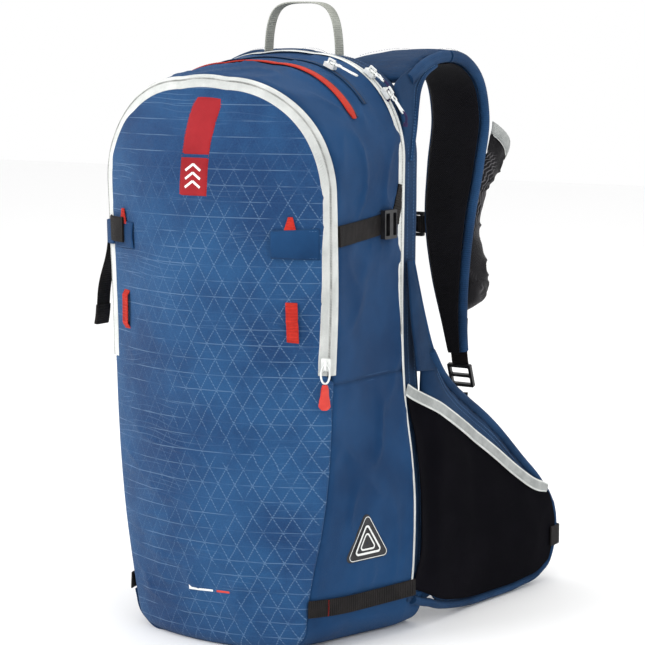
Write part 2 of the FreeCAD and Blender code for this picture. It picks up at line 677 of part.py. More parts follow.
def build_hip_belt():
    x = size("wing_x")
    thick = size("wing_thick")
    root = extruded(polygon([(x, y, z) for y, z in WING_ROOT]), (thick, 0, 0))
    soft("hip_wing_roots", root, mirrored(root))
    both_sides("hip_wing", flared(plate_yz(WING_TOP, WING_FOOT, x, thick)))
    panel = flared(plate_yz(POCKET_TOP, POCKET_FOOT, x + thick + 0.4, 2.2))
    hem_line = [(x + thick + 0.4, y, z + 1) for y, z in POCKET_TOP]
    hem_high = [(px, y + 6, z + 11) for px, y, z in hem_line]
    hem = flared(extruded(Part.Wire([spline(hem_line), Part.makeLine(Vector(*hem_line[-1]), Vector(*hem_high[-1])),
                                     spline(hem_high[::-1]),
                                     Part.makeLine(Vector(*hem_high[0]), Vector(*hem_line[0]))]), (2.2, 0, 0)))
    both_sides("hip_pocket", panel, hem)
    half = size("belt_webbing") / 2
    z = 50
    strap = flared(box(x - 34, x + 8, 276.6, 278.4, z - half, z + half))
    both_sides("hip_webbing", strap)
    shell = flared(box(x - 84, x - 34.3, 270, 283, z - 20, z + 20))
    cavity = flared(box(x - 85, x - 50, 272, 281, z - 16, z + 16))
    soft("hip_buckle_female", shell.cut(cavity))
    base = box(x - 54, x - 34.3, 270, 283, z - 20, z + 20)
    prongs = [box(x - 80, x - 53, 274, 279, low, low + 5) for low in (z - 14, z - 2.5, z + 9)]
    soft("hip_buckle_male", mirrored(flared(base.multiFuse(prongs))))


def build_haul_loop():
    span = size("loop_span") / 2
    height = size("loop_height")
    thick = size("webbing_thick") + 0.4
    foot = size("loop_axis") + 8.5

    def arch(inset):
        half = span - inset
        top = foot + height - 8.5 - inset
        return Part.Wire([Part.makeLine(Vector(-half, 0, foot), Vector(-half, 0, foot + 10)),
                          Part.Arc(Vector(-half, 0, foot + 10), Vector(0, 0, top),
                                   Vector(half, 0, foot + 10)).toShape(),
                          Part.makeLine(Vector(half, 0, foot + 10), Vector(half, 0, foot)),
                          Part.makeLine(Vector(half, 0, foot), Vector(-half, 0, foot))])

    half_width = 8
    loop = extruded(arch(0), (0, 2 * half_width, 0)).cut(extruded(arch(thick), (0, 2 * half_width, 0)))
    loop.translate(Vector(0, size("loop_y") - half_width, 0))
    soft("haul_loop", loop)


# ---------------------------------------------------------------- build and export
def check_and_export():
    doc.recompute()
    bad = [o.Name for o in doc.Objects if "Invalid" in o.State or "Error" in o.State]
    bad += [n.Label for n in nodes if n.Shape.isNull() or not n.Shape.isValid() or n.Shape.Volume < 1]
    if bad:
        raise RuntimeError("not built: " + ", ".join(bad))
    os.makedirs("parts", exist_ok=True)
    for node in nodes:
        node.Shape.exportStep("parts/%s.step" % node.Label)
    whole = FreeCAD.BoundBox()
    for node in nodes:
        whole.add(node.Shape.BoundBox)
    print("nodes", len(nodes), "box", whole)


build_shell()
build_back()
build_zip_tapes()
build_front_trim()
build_sliders()
build_side_straps()
build_straps()
build_flask_pocket()
build_sternum_strap()
build_ladder_locks()
build_hip_belt()
build_haul_loop()
check_and_export()
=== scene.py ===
import json
import math

import bpy
import numpy as np
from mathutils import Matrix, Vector

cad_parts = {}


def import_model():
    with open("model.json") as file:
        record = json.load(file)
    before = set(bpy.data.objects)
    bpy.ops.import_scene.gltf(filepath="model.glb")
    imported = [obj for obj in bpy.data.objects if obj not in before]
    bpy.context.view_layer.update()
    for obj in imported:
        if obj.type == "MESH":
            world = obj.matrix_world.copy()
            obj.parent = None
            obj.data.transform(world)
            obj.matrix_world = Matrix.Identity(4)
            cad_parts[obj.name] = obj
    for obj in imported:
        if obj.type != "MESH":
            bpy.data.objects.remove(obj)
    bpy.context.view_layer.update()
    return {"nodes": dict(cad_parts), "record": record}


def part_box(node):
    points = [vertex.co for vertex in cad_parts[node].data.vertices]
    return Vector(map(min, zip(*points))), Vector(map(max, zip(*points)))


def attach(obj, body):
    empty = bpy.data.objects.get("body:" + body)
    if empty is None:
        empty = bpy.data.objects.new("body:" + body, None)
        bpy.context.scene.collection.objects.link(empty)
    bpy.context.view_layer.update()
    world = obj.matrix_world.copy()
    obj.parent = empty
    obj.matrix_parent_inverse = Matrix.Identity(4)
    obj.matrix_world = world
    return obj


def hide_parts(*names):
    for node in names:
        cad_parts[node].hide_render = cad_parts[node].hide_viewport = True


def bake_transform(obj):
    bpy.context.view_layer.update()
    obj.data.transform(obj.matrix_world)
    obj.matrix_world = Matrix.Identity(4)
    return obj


# Looks of the ski touring backpack.  Shapes are worked out in millimetres with the main
# zip's plane at y = 0, as the sizes of the pack are, and world() turns them into the frame.

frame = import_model()
MM = 0.001
SIDES = ((1, "right"), (-1, "left"))
WEBBING_WIDTH = 20
SEAM_GAP = 0.2
ZIP_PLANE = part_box("back_panel")[0].y - SEAM_GAP * MM

# Section of the pack by height, at the main zip's plane and 190 mm in front of it.
DEPTH = 190.0
BACK_HEIGHTS = [28, 58, 128, 178, 243, 343, 473.5]
BACK_HALF_WIDTHS = [138, 145, 147, 143, 134, 130, 131]
FRONT_HEIGHTS = [28, 58, 128, 178, 243, 343, 435]
FRONT_HALF_WIDTHS = [86, 90, 107, 117, 126.5, 134, 136]
TOP = (576, 549.5)
CORNER = (100, 112)
SHOULDER = (131, 136)
CROWN = 2.5
FOOT = 28
FACE_HEIGHTS = [-20, 48, 138, 238, 338, 418, 478, 518, 548, 590]
FACE_CENTRE = [-150, -158, -166, -170, -171, -170, -166, -158, -150, -136]
FACE_FALL = [2.5, 2.4, 2.6, 2.64, 2.64, 2.4, 2.1, 2.0, 1.8, 1.6]
SIDE_TOP = 264
BASE_TOP = 30
FOLD_LOW, FOLD_HIGH = 262, 290


# ---------------------------------------------------------------- camera
AZIMUTH, ELEVATION = math.radians(35), math.radians(8)
DISTANCE = 2.2
SENSOR = 36.0
FOCAL_SHARE = 2200 / 645
VIEWED_DEPTH, VIEWED_HEIGHT = 0.06, 0.288
AIM_RIGHT, AIM_UP = 0.0635, 0.0195


def make_camera():
    """Camera at the photograph's angle and distance."""
    data = bpy.data.cameras.new("camera")
    data.sensor_width = SENSOR
    data.lens = SENSOR * FOCAL_SHARE
    camera = bpy.data.objects.new("camera", data)
    bpy.context.scene.collection.objects.link(camera)
    level = math.cos(ELEVATION)
    back = Vector((math.sin(AZIMUTH) * level, -math.cos(AZIMUTH) * level, math.sin(ELEVATION)))
    middle = Vector((0, ZIP_PLANE - VIEWED_DEPTH, VIEWED_HEIGHT))
    camera.location = middle + back * DISTANCE
    right = Vector((math.cos(AZIMUTH), math.sin(AZIMUTH), 0))
    aim = middle + right * AIM_RIGHT + back.cross(right) * AIM_UP
    camera.rotation_euler = (aim - camera.location).to_track_quat("-Z", "Y").to_euler()
    bpy.context.scene.camera = camera


make_camera()


# ---------------------------------------------------------------- shape of the pack
def world(points):
    """Millimetres from the zip plane to metres in the frame."""
    placed = np.array(points, float) * MM
    placed[..., 1] += ZIP_PLANE
    return placed


def lerp(a, b, share):
    return a + (b - a) * share


def ease(value, low, high):
    """0 below low, 1 above high, smooth between."""
    share = np.clip((np.asarray(value, float) - low) / (high - low), 0, 1)
    return share * share * (3 - 2 * share)


def smooth(value, stations, values):
    """Smooth curve through the values at their stations; values may be points."""
    xs, ys = np.asarray(stations, float), np.asarray(values, float)
    slopes = np.gradient(ys, xs, axis=0)
    v = np.clip(np.asarray(value, float), xs[0], xs[-1])
    i = np.clip(np.searchsorted(xs, v) - 1, 0, len(xs) - 2)
    step = xs[i + 1] - xs[i]
    t = (v - xs[i]) / step
    if ys.ndim > 1:
        step, t = step[..., None], t[..., None]
    return ((2 * t ** 3 - 3 * t ** 2 + 1) * ys[i] + (t ** 3 - 2 * t ** 2 + t) * step * slopes[i]
            + (3 * t ** 2 - 2 * t ** 3) * ys[i + 1] + (t ** 3 - t ** 2) * step * slopes[i + 1])


def face_y(x, z):
    """Depth of the front face."""
    return smooth(z, FACE_HEIGHTS, FACE_CENTRE) + smooth(z, FACE_HEIGHTS, FACE_FALL) * x * x / 1000


def half_section(y, u, inset):
    """Point (x, z) of the half section at depth y: u is 0..1 on the foot arc, 1..7 up the
    flank, 7..8 round the shoulder and 8..9 along the crown."""
    y, u, inset = np.broadcast_arrays(np.asarray(y, float), np.asarray(u, float), np.asarray(inset, float))
    share = np.clip(-y / DEPTH, 0, None)
    corner = lerp(*CORNER, share) - inset
    shoulder_z = lerp(*TOP, share) - CROWN - inset - corner
    step = np.clip(u - 1, 0, 6)
    index = np.arange(7)
    width = lerp(smooth(step, index, BACK_HALF_WIDTHS), smooth(step, index, FRONT_HALF_WIDTHS), share) - inset
    height = lerp(smooth(step, index, BACK_HEIGHTS), smooth(step, index, FRONT_HEIGHTS), share)
    turn = np.clip(u - 7, 0, 1) * math.pi / 2
    x = width - (1 - np.cos(turn)) * corner
    z = height + np.sin(turn) * corner
    crown = np.clip(u - 8, 0, 1)
    x = x * (1 - crown)
    z = z + CROWN * (1 - (1 - crown) ** 2)
    z = np.where(u > 6.999, np.maximum(z, shoulder_z), z)
    foot_turn = (1 - np.clip(u, 0, 1)) * math.pi / 2
    radius = FOOT - inset
    x = x - (1 - np.cos(foot_turn)) * radius
    z = z - np.sin(foot_turn) * radius
    return x, z


def wrap(y, w, inset=0.0):
    """Point of the envelope at depth y: w is 0 at the middle of the crown, 1 to 2 round the
    shoulder, 2 to 8 down the flank and 8 to 9 round the foot; negative w is the left side."""
    w = np.asarray(w, float)
    x, z = half_section(y, 9 - np.abs(w), inset)
    return np.stack(np.broadcast_arrays(np.sign(w) * x, np.asarray(y, float), z), axis=-1)


def front_depth(w, inset=0.0):
    """Depth at which the envelope, moved inward by inset, meets the front face."""
    y = np.full(np.shape(w), -150.0)
    for _ in range(5):
        p = wrap(y, w, inset)
        y = face_y(p[..., 0], p[..., 2])
    return y


def flank_w(z, y=0.0):
    """The w of a height on the straight flank."""
    steps = np.linspace(2, 8, 200)
    heights = wrap(np.full(200, float(y)), steps)[:, 2]
    return np.interp(z, heights[::-1], steps[::-1])


def even(w0, w1, spacing, y=-80.0):
    """Values of w from w0 to w1 at an even spacing in millimetres along the section."""
    dense = np.linspace(w0, w1, 800)
    points = wrap(np.full(800, y), dense)
    length = np.concatenate([[0], np.cumsum(np.linalg.norm(np.diff(points, axis=0), axis=1))])
    count = max(2, int(round(length[-1] / spacing)) + 1)
    return np.interp(np.linspace(0, length[-1], count), length, dense)


def edge_distance(x, y, z):
    """Distance inward from the envelope's outline at depth y."""
    x, share = np.abs(x), np.clip(-y / DEPTH, 0, None)
    corner, shoulder = lerp(*CORNER, share), lerp(*SHOULDER, share)
    shoulder_z = lerp(*TOP, share) - CROWN - corner
    width = lerp(smooth(z, BACK_HEIGHTS, BACK_HALF_WIDTHS),
                 smooth(z, FRONT_HEIGHTS, FRONT_HALF_WIDTHS), share)
    flank = width - x
    arc = corner - np.hypot(x - (shoulder - corner), z - shoulder_z)
    crown = shoulder_z + corner + CROWN * (1 - (x / (shoulder - corner)) ** 2) - z
    high = np.where(x > shoulder - corner, arc, crown)
    distance = np.where(z > shoulder_z, high, flank)
    foot_x = width - FOOT
    foot = FOOT - np.hypot(x - foot_x, z - FOOT)
    low = np.where(x > foot_x, foot, z)
    return np.where(z < FOOT, np.minimum(low, distance), distance)


# ---------------------------------------------------------------- relief
WAVE_COUNT = 14
FOLD_SHARPNESS = 3.0


def waves(points, length, seed, stretch=(1, 1, 1)):
    """Smooth irregular relief from -1 to 1 whose bumps are about length across."""
    rng = np.random.default_rng(seed)
    p = np.asarray(points, float) / np.asarray(stretch, float)
    total = np.zeros(p.shape[:-1])
    for _ in range(WAVE_COUNT):
        heading = rng.normal(size=3)
        heading /= np.linalg.norm(heading)
        wave = length * rng.uniform(0.7, 1.6)
        total += np.sin(p @ heading * 2 * math.pi / wave + rng.uniform(0, 2 * math.pi))
    return np.tanh(total / math.sqrt(WAVE_COUNT))


def creases(points, length, seed, stretch=(1, 1, 1)):
    """Narrow raised folds between flat areas, 0 to 1."""
    bent = np.asarray(points, float) + 0.25 * length * np.stack(
        [waves(points, 1.7 * length, seed + k + 1, stretch) for k in range(3)], axis=-1)
    return (1 - np.abs(waves(bent, length, seed, stretch))) ** FOLD_SHARPNESS


def normals(grid):
    """Unit normals of a grid of points."""
    du = np.gradient(grid, axis=0)
    dv = np.gradient(grid, axis=1)
    n = np.cross(du, dv)
    return n / np.maximum(np.linalg.norm(n, axis=-1, keepdims=True), 1e-9)


def raised(grid, height):
    return grid + normals(grid) * np.asarray(height)[..., None]


def arc_lengths(grid):
    """Distances along the columns and along the rows of a grid of points."""
    along_u = np.concatenate([np.zeros((1, grid.shape[1])),
                              np.cumsum(np.linalg.norm(np.diff(grid, axis=0), axis=-1), axis=0)])
    along_v = np.concatenate([np.zeros((grid.shape[0], 1)),
                              np.cumsum(np.linalg.norm(np.diff(grid, axis=1), axis=-1), axis=1)], axis=1)
    return along_u, along_v


# ---------------------------------------------------------------- meshes
def make_object(name, verts, faces, weave=None):
    mesh = bpy.data.meshes.new(name)
    mesh.from_pydata(np.asarray(verts).tolist(), [], [list(map(int, f)) for f in faces])
    if weave is not None:
        attribute = mesh.attributes.new("weave", "FLOAT_VECTOR", "POINT")
        attribute.data.foreach_set("vector", np.asarray(weave, np.float32).ravel())
    mesh.polygons.foreach_set("use_smooth", [True] * len(mesh.polygons))
    mesh.update()
    piece = bpy.data.objects.new(name, mesh)
    bpy.context.scene.collection.objects.link(piece)
    return piece


def coordinates(mesh):
    """A mesh's vertices as an array, in metres."""
    co = np.empty(len(mesh.vertices) * 3, np.float32)
    mesh.vertices.foreach_get("co", co)
    return co.reshape(-1, 3)


def set_coordinates(mesh, co):
    mesh.vertices.foreach_set("co", np.asarray(co, np.float32).ravel())


def grid_faces(rows, cols, closed=False, flip=False):
    index = np.arange(rows * cols).reshape(rows, cols)
    if closed:
        index = np.concatenate([index, index[:, :1]], axis=1)
    quads = np.stack([index[:-1, :-1], index[:-1, 1:], index[1:, 1:], index[1:, :-1]], axis=-1).reshape(-1, 4)
    return quads[:, ::-1] if flip else quads


def weave_of(u, v):
    return np.stack([u, v, np.zeros_like(u)], axis=-1)


def cloth(name, grid, weave=None, keep=None, flip=False):
    """A sheet of cloth from a grid of points; keep marks the quads that stay."""
    if weave is None:
        weave = weave_of(*arc_lengths(grid))
    rows, cols = grid.shape[:2]
    faces = grid_faces(rows, cols, flip=flip)
    verts, threads = world(grid).reshape(-1, 3), np.asarray(weave).reshape(-1, 3)
    if keep is not None:
        faces = faces[keep.ravel()]
        used = np.unique(faces)
        renumber = np.zeros(len(verts), int)
        renumber[used] = np.arange(len(used))
        verts, threads, faces = verts[used], threads[used], renumber[faces]
    return make_object(name, verts, faces, threads)


def flat_section(width, thick, foot=0.0, across=8):
    """Rounded flat section of a webbing or tape, lying on its foot."""
    edge = thick / 2
    xs = np.linspace(-width / 2 + edge, width / 2 - edge, across + 1)
    top = [(x, thick) for x in xs]
    low = [(x, 0.0) for x in xs[::-1]]
    trim = 0.3 * edge
    right = [(width / 2 - trim, thick - trim), (width / 2, edge), (width / 2 - trim, trim)]
    left = [(-a, b) for a, b in right[::-1]]
    return np.array(top + right + low + left) + [0, foot]


def round_section(radius, count=10, flat=1.0):
    angles = np.arange(count) * 2 * math.pi / count
    return np.stack([radius * np.sin(angles), radius * flat * np.cos(angles)], axis=-1)


def unit(v):
    v = np.asarray(v, float)
    return v / np.maximum(np.linalg.norm(v, axis=-1, keepdims=True), 1e-9)


def sweep(name, path, outward, section, widths=None, closed=False):
    """A band along a path: the section's first axis lies across, its second points outward."""
    path = np.asarray(path, float)
    if closed:
        along = np.roll(path, -1, 0) - np.roll(path, 1, 0)
    else:
        along = np.gradient(path, axis=0)
    along = unit(along)
    outward = np.broadcast_to(np.asarray(outward, float), path.shape)
    outward = unit(outward - along * np.sum(outward * along, axis=-1, keepdims=True))
    across = np.cross(along, outward)
    scale = np.ones(len(path)) if widths is None else np.asarray(widths, float)
    section = np.asarray(section, float)
    grid = (path[:, None] + across[:, None] * (section[None, :, 0:1] * scale[:, None, None])
            + outward[:, None] * section[None, :, 1:2])
    run = np.concatenate([[0], np.cumsum(np.linalg.norm(np.diff(path, axis=0), axis=-1))])
    weave = weave_of(np.broadcast_to(section[:, 0], grid.shape[:2]) * scale[:, None],
                     np.broadcast_to(run[:, None], grid.shape[:2]))
    rows, cols = grid.shape[:2]
    faces = [list(f) for f in grid_faces(rows, cols, closed=True)]
    if closed:
        last = (rows - 1) * cols
        faces += [[last + j, last + (j + 1) % cols, (j + 1) % cols, j] for j in range(cols)]
    else:
        faces += [list(range(cols))[::-1], list(range((rows - 1) * cols, rows * cols))]
    piece = make_object(name, world(grid).reshape(-1, 3), faces, weave.reshape(-1, 3))
    bend_edges(piece)
    return piece


def bend_edges(piece, angle=40):
    """Smooth shading that keeps edges sharper than the angle crisp."""
    mesh = piece.data
    mesh.shade_smooth()
    mesh.set_sharp_from_angle(angle=math.radians(angle))


def join(name, pieces):
    """One piece made of several meshes with the same attributes."""
    verts, faces, weave, start = [], [], [], 0
    slots, numbers = [], []
    for piece in pieces:
        mesh = piece.data
        for material in mesh.materials:
            if material not in slots:
                slots.append(material)
        verts.append(coordinates(mesh))
        threads = np.zeros(len(mesh.vertices) * 3, np.float32)
        if "weave" in mesh.attributes:
            mesh.attributes["weave"].data.foreach_get("vector", threads)
        weave.append(threads.reshape(-1, 3))
        for polygon in mesh.polygons:
            faces.append([start + i for i in polygon.vertices])
            numbers.append(slots.index(mesh.materials[polygon.material_index]) if mesh.materials else 0)
        start += len(mesh.vertices)
        bpy.data.objects.remove(piece)
    joined = make_object(name, np.concatenate(verts), faces, np.concatenate(weave))
    for material in slots:
        joined.data.materials.append(material)
    if slots:
        joined.data.polygons.foreach_set("material_index", numbers)
    bend_edges(joined)
    return joined


def settle(piece):
    """Applies the piece's modifiers to its mesh."""
    graph = bpy.context.evaluated_depsgraph_get()
    graph.update()
    old = piece.data
    mesh = bpy.data.meshes.new_from_object(piece.evaluated_get(graph))
    piece.modifiers.clear()
    piece.data = mesh
    bpy.data.meshes.remove(old)
    mesh.name = piece.name
    return piece


def thicken(piece, thick):
    """Gives a sheet its thickness, in millimetres, behind its face."""
    modifier = piece.modifiers.new("thickness", "SOLIDIFY")
    modifier.thickness = thick * MM
    modifier.offset = -1
    return settle(piece)


def on_right(side, node):
    """The node that the right piece of a pair stands for, when it covers both sides."""
    return (node,) if side > 0 else ()


def wear(piece, material, body="root", replaced=()):
    """Gives a piece its material, its body and the nodes it stands for."""
    if material is not None:
        piece.data.materials.clear()
        piece.data.materials.append(material)
    if body:
        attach(piece, body)
    if replaced:
        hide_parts(*replaced)


# ---------------------------------------------------------------- materials
def linear(red, green, blue):
    """Linear colour of an sRGB colour from 0 to 255."""
    channels = [c / 255 for c in (red, green, blue)]
    return [c / 12.92 if c <= 0.04045 else ((c + 0.055) / 1.055) ** 2.4 for c in channels] + [1.0]


class Shader:
    """A node material written as expressions."""

    def __init__(self, name, **finish):
        self.material = bpy.data.materials.new(name)
        self.material.use_nodes = True
        self.tree = self.material.node_tree
        self.surface = self.tree.nodes["Principled BSDF"]
        for word, value in finish.items():
            self.surface.inputs[word.replace("_", " ")].default_value = value
        self.place = self.node("TexCoord").outputs["Object"]

    def node(self, kind, **settings):
        node = self.tree.nodes.new("ShaderNode" + kind)
        for word, value in settings.items():
            setattr(node, word, value)
        return node

    def feed(self, socket, value):
        if isinstance(value, bpy.types.NodeSocket):
            self.tree.links.new(value, socket)
        else:
            socket.default_value = value

    def math(self, operation, *values):
        node = self.node("Math", operation=operation)
        for socket, value in zip(node.inputs, values):
            self.feed(socket, value)
        return node.outputs[0]

    def add(self, a, b):
        return self.math("ADD", a, b)

    def times(self, a, b):
        return self.math("MULTIPLY", a, b)

    def clamp(self, value):
        return self.math("MINIMUM", self.math("MAXIMUM", value, 0.0), 1.0)

    def weave(self):
        """The cloth's own coordinates, in millimetres along its two directions."""
        node = self.node("Attribute", attribute_name="weave")
        parts = self.node("SeparateXYZ")
        self.feed(parts.inputs[0], node.outputs["Vector"])
        return parts.outputs[0], parts.outputs[1]

    def wave(self, value, period):
        return self.math("SINE", self.times(value, 2 * math.pi / period))

    def step(self, value, low, high, start=0.0, end=1.0):
        node = self.node("MapRange", interpolation_type="SMOOTHSTEP")
        for socket, v in zip(node.inputs, (value, low, high, start, end)):
            self.feed(socket, v)
        return node.outputs[0]

    def line(self, value, period, width):
        """1 on thin lines every period along value, 0 between them."""
        off = self.math("PINGPONG", value, period / 2)
        return self.step(off, width * 0.35, width * 0.8, 1.0, 0.0)

    def noise(self, scale, detail=2.0, rough=0.5, stretch=None):
        node = self.node("TexNoise")
        vector = self.place
        if stretch:
            mapping = self.node("Mapping")
            self.feed(mapping.inputs["Vector"], vector)
            mapping.inputs["Scale"].default_value = stretch
            vector = mapping.outputs[0]
        self.feed(node.inputs["Vector"], vector)
        for word, value in (("Scale", scale), ("Detail", detail), ("Roughness", rough)):
            node.inputs[word].default_value = value
        return node.outputs[0]

    def speckle(self, scale, detail=2.0):
        """Fine noise about zero."""
        return self.add(self.noise(scale, detail), -0.5)

    def mix(self, share, a, b):
        node = self.node("Mix", data_type="RGBA")
        self.feed(node.inputs[0], share)
        self.feed(node.inputs[6], a)
        self.feed(node.inputs[7], b)
        return node.outputs[2]

    def colour(self, value):
        self.feed(self.surface.inputs["Base Color"], value)

    def rough(self, value):
        self.feed(self.surface.inputs["Roughness"], value)

    def bump(self, height, depth):
        """Relief of depth millimetres for a height from 0 to 1."""
        node = self.node("Bump")
        node.inputs["Strength"].default_value = 1.0
        node.inputs["Distance"].default_value = depth * MM
        self.feed(node.inputs["Height"], height)
        previous = self.surface.inputs["Normal"].links
        if previous:
            self.feed(node.inputs["Normal"], previous[0].from_socket)
        self.feed(self.surface.inputs["Normal"], node.outputs[0])


def tinted(shader, dark, light, spread, *extras):
    """Mottled colour between dark and light, as red, green and blue from 0 to 255; extras
    are (height, share) pairs that lighten."""
    share = shader.step(shader.noise(spread, 4.0, 0.6), 0.3, 0.7)
    share = shader.add(shader.times(share, 0.7), 0.15)
    for height, part in extras:
        share = shader.add(share, shader.times(height, part))
    shader.colour(shader.mix(shader.clamp(share), linear(*dark), linear(*light)))


def woven(name, dark, light, yarn=0.9, depth=0.12, rough=0.8, sheen=0.04, spread=14, ribs=(0, 0), gloss=0.12):
    """Plain woven cloth; ribs is the period and depth of a coarser cord across it."""
    shader = Shader(name, Roughness=rough, Sheen_Weight=sheen, Sheen_Roughness=0.45, Specular_IOR_Level=gloss)
    u, v = shader.weave()
    threads = shader.times(shader.wave(u, yarn), shader.wave(v, yarn))
    fuzz = shader.noise(900, 2.0)
    extras = [(threads, 0.10), (shader.add(fuzz, -0.5), 0.5)]
    if ribs[0]:
        cord = shader.wave(v, ribs[0])
        extras.append((cord, 0.12))
        shader.bump(cord, ribs[1])
    tinted(shader, dark, light, spread, *extras)
    shader.bump(threads, depth)
    shader.bump(shader.noise(60, 3.0), 0.5)
    shader.rough(shader.step(fuzz, 0.3, 0.7, rough - 0.08, rough + 0.08))
    return shader.material


def front_cloth():
    """Blue ripstop with a drawn grid of triangles that fades in and out over the panel."""
    side = 17.4
    row = side * math.sqrt(3) / 2
    shader = Shader("front_cloth", Roughness=0.66, Sheen_Weight=0.05, Sheen_Roughness=0.5,
                    Specular_IOR_Level=0.2)
    u, v = shader.weave()
    flat = shader.line(v, row, 0.7)
    rising, falling = (shader.add(shader.times(u, slope * math.sqrt(3) / 2), shader.times(v, 0.5))
                       for slope in (1, -1))
    slants = shader.math("MAXIMUM", shader.line(rising, row, 0.8), shader.line(falling, row, 0.8))
    dashes = shader.step(shader.wave(shader.add(v, shader.times(u, 0.3)), 2.6), -0.95, -0.3)
    broken = shader.step(shader.noise(46, 2.0, 0.6), 0.3, 0.5)
    right = shader.step(u, -90, 60, 0.28, 1.0)
    middle = shader.step(v, 500, 420, 0.06, 1.0)
    where = shader.times(right, shader.times(middle, broken))
    slant_share = shader.times(shader.times(slants, dashes), where)
    thin = shader.line(shader.add(v, shader.times(shader.noise(9, 1.0), 30)), row / 3, 0.55)
    streaks = shader.step(shader.noise(26, 2.0, 0.6, (0.35, 1, 1.8)), 0.5, 0.68)
    left = shader.step(u, 70, -60, 0.45, 1.0)
    patches = shader.step(shader.noise(30, 2.0, 0.6, (0.6, 1, 1.4)), 0.4, 0.62, 0.12, 0.95)
    flat_share = shader.times(flat, patches)
    thin_share = shader.times(shader.times(thin, streaks), shader.times(left, 0.6))
    drawn = shader.math("MAXIMUM", shader.math("MAXIMUM", slant_share, flat_share), thin_share)
    threads = shader.times(shader.wave(u, 0.8), shader.wave(v, 0.8))
    share = shader.step(shader.noise(11, 4.0, 0.62), 0.3, 0.7, 0.1, 0.9)
    fine = shader.add(shader.times(threads, 0.12), shader.times(shader.speckle(700), 0.9))
    share = shader.clamp(shader.add(share, fine))
    ground = shader.mix(share, linear(17, 54, 98), linear(34, 82, 128))
    shader.colour(shader.mix(shader.times(drawn, 0.36), ground, linear(132, 164, 198)))
    shader.bump(drawn, 0.22)
    shader.bump(threads, 0.1)
    shader.bump(shader.noise(55, 3.0), 0.7)
    shader.rough(shader.step(drawn, 0.0, 1.0, 0.68, 0.5))
    return shader.material


def moire_mesh():
    """Open black netting over a dark lining: painted rings of light (moiré) where the two nets cross, and
    painted highlights along soft folds.
    """
    shader = Shader("moire_mesh", Roughness=0.5, Sheen_Weight=0.0, Specular_IOR_Level=0.12)
    u, v = shader.weave()
    # painted highlight: moiré rings of light, shown in patches
    drift = shader.times(shader.noise(16, 1.5, 0.4), 46)
    rings = shader.wave(shader.add(v, drift), 4.2)
    patches = shader.step(shader.noise(28, 2.0, 0.5), 0.44, 0.62)
    glints = shader.times(shader.step(rings, 0.2, 0.95), patches)
    holes = shader.times(shader.wave(u, 1.6), shader.wave(v, 1.6))
    # painted highlight along soft folds
    fold = shader.step(shader.noise(34, 2.0, 0.5, (1, 1, 0.5)), 0.6, 0.8)
    shine = shader.math("MAXIMUM", shader.times(glints, 0.3), shader.times(fold, 0.1))
    share = shader.math("MINIMUM", shader.add(shine, shader.times(shader.add(holes, 1.0), 0.02)), 1.0)
    shader.colour(shader.mix(share, linear(14, 13, 17), linear(178, 175, 180)))
    shader.bump(holes, 0.35)
    shader.bump(shader.noise(70, 2.0), 1.2)
    return shader.material


def moulded(name, dark, light, rough=0.4, grain=0.06):
    """Moulded plastic or rubber with a fine spark-eroded grain and roughness that varies in patches."""
    shader = Shader(name, Roughness=rough, Specular_IOR_Level=0.5)
    tinted(shader, dark, light, 90, (shader.speckle(1600, 1.0), 0.3))
    shader.bump(shader.noise(1500, 2.0), grain)
    shader.rough(shader.step(shader.noise(120, 3.0), 0.3, 0.7, rough - 0.07, rough + 0.1))
    return shader.material


def painted_metal(name, dark, light):
    shader = Shader(name, Roughness=0.32, Metallic=0.15, Coat_Weight=0.4, Coat_Roughness=0.15)
    tinted(shader, dark, light, 160, (shader.speckle(1200), 0.3))
    shader.bump(shader.noise(600, 2.0), 0.05)
    return shader.material


def zip_teeth(name, dark, light):
    """A coil of fine teeth across the run of the zip."""
    shader = Shader(name, Roughness=0.45, Specular_IOR_Level=0.5)
    _, v = shader.weave()
    teeth = shader.wave(v, 1.5)
    tinted(shader, dark, light, 60, (teeth, 0.3))
    shader.bump(teeth, 0.4)
    return shader.material


def netting(name, dark, light, cell=3.0, depth=0.6):
    """Spacer mesh: rows of small round openings."""
    shader = Shader(name, Roughness=0.85, Sheen_Weight=0.03, Sheen_Roughness=0.5, Specular_IOR_Level=0.12)
    u, v = shader.weave()
    open_cells = shader.times(shader.wave(u, cell), shader.wave(v, cell))
    tinted(shader, dark, light, 12, (open_cells, 0.35), (shader.speckle(500), 0.5))
    shader.bump(open_cells, depth)
    return shader.material


FRONT = front_cloth()
PLAIN = woven("side_cloth", (13, 47, 84), (30, 72, 116), yarn=0.9, rough=0.72, spread=10)
HARNESS = woven("harness_cloth", (14, 40, 70), (31, 64, 100), yarn=1.3, depth=0.2, rough=0.8, spread=12)
BINDING = woven("binding", (15, 44, 76), (35, 72, 112), yarn=1.1, depth=0.15, ribs=(2.2, 0.15))
LINING = woven("lining", (66, 70, 76), (96, 100, 106), yarn=1.0, rough=0.85)
WHITE_TAPE = woven("white_tape", (206, 209, 206), (236, 238, 235), yarn=1.0, depth=0.1, rough=0.8,
                   spread=40, ribs=(1.6, 0.1))
COIL = zip_teeth("zip_coil", (150, 152, 150), (225, 226, 222))
# dark coil of the goggle zip, also used for the painted shadow line above the red zip
DARK_COIL_AND_SHADOW = zip_teeth("dark_zip_coil_and_shadow", (20, 26, 40), (46, 62, 92))
RED_TAPE = woven("red_tape", (172, 42, 30), (206, 62, 46), yarn=1.0, rough=0.7, spread=40,
                 ribs=(1.7, 0.15))
STRIPE = woven("stripe_cloth", (138, 26, 34), (166, 40, 46), yarn=0.8, depth=0.08, rough=0.66,
               spread=22)
BLACK_WEBBING = woven("black_webbing", (14, 12, 13), (36, 32, 31), yarn=1.5, depth=0.25, rough=0.7,
                      spread=50, ribs=(2.4, 0.25))
GREY_WEBBING = woven("grey_webbing", (150, 152, 144), (186, 189, 180), yarn=1.4, depth=0.25,
                     spread=40, ribs=(2.2, 0.2))
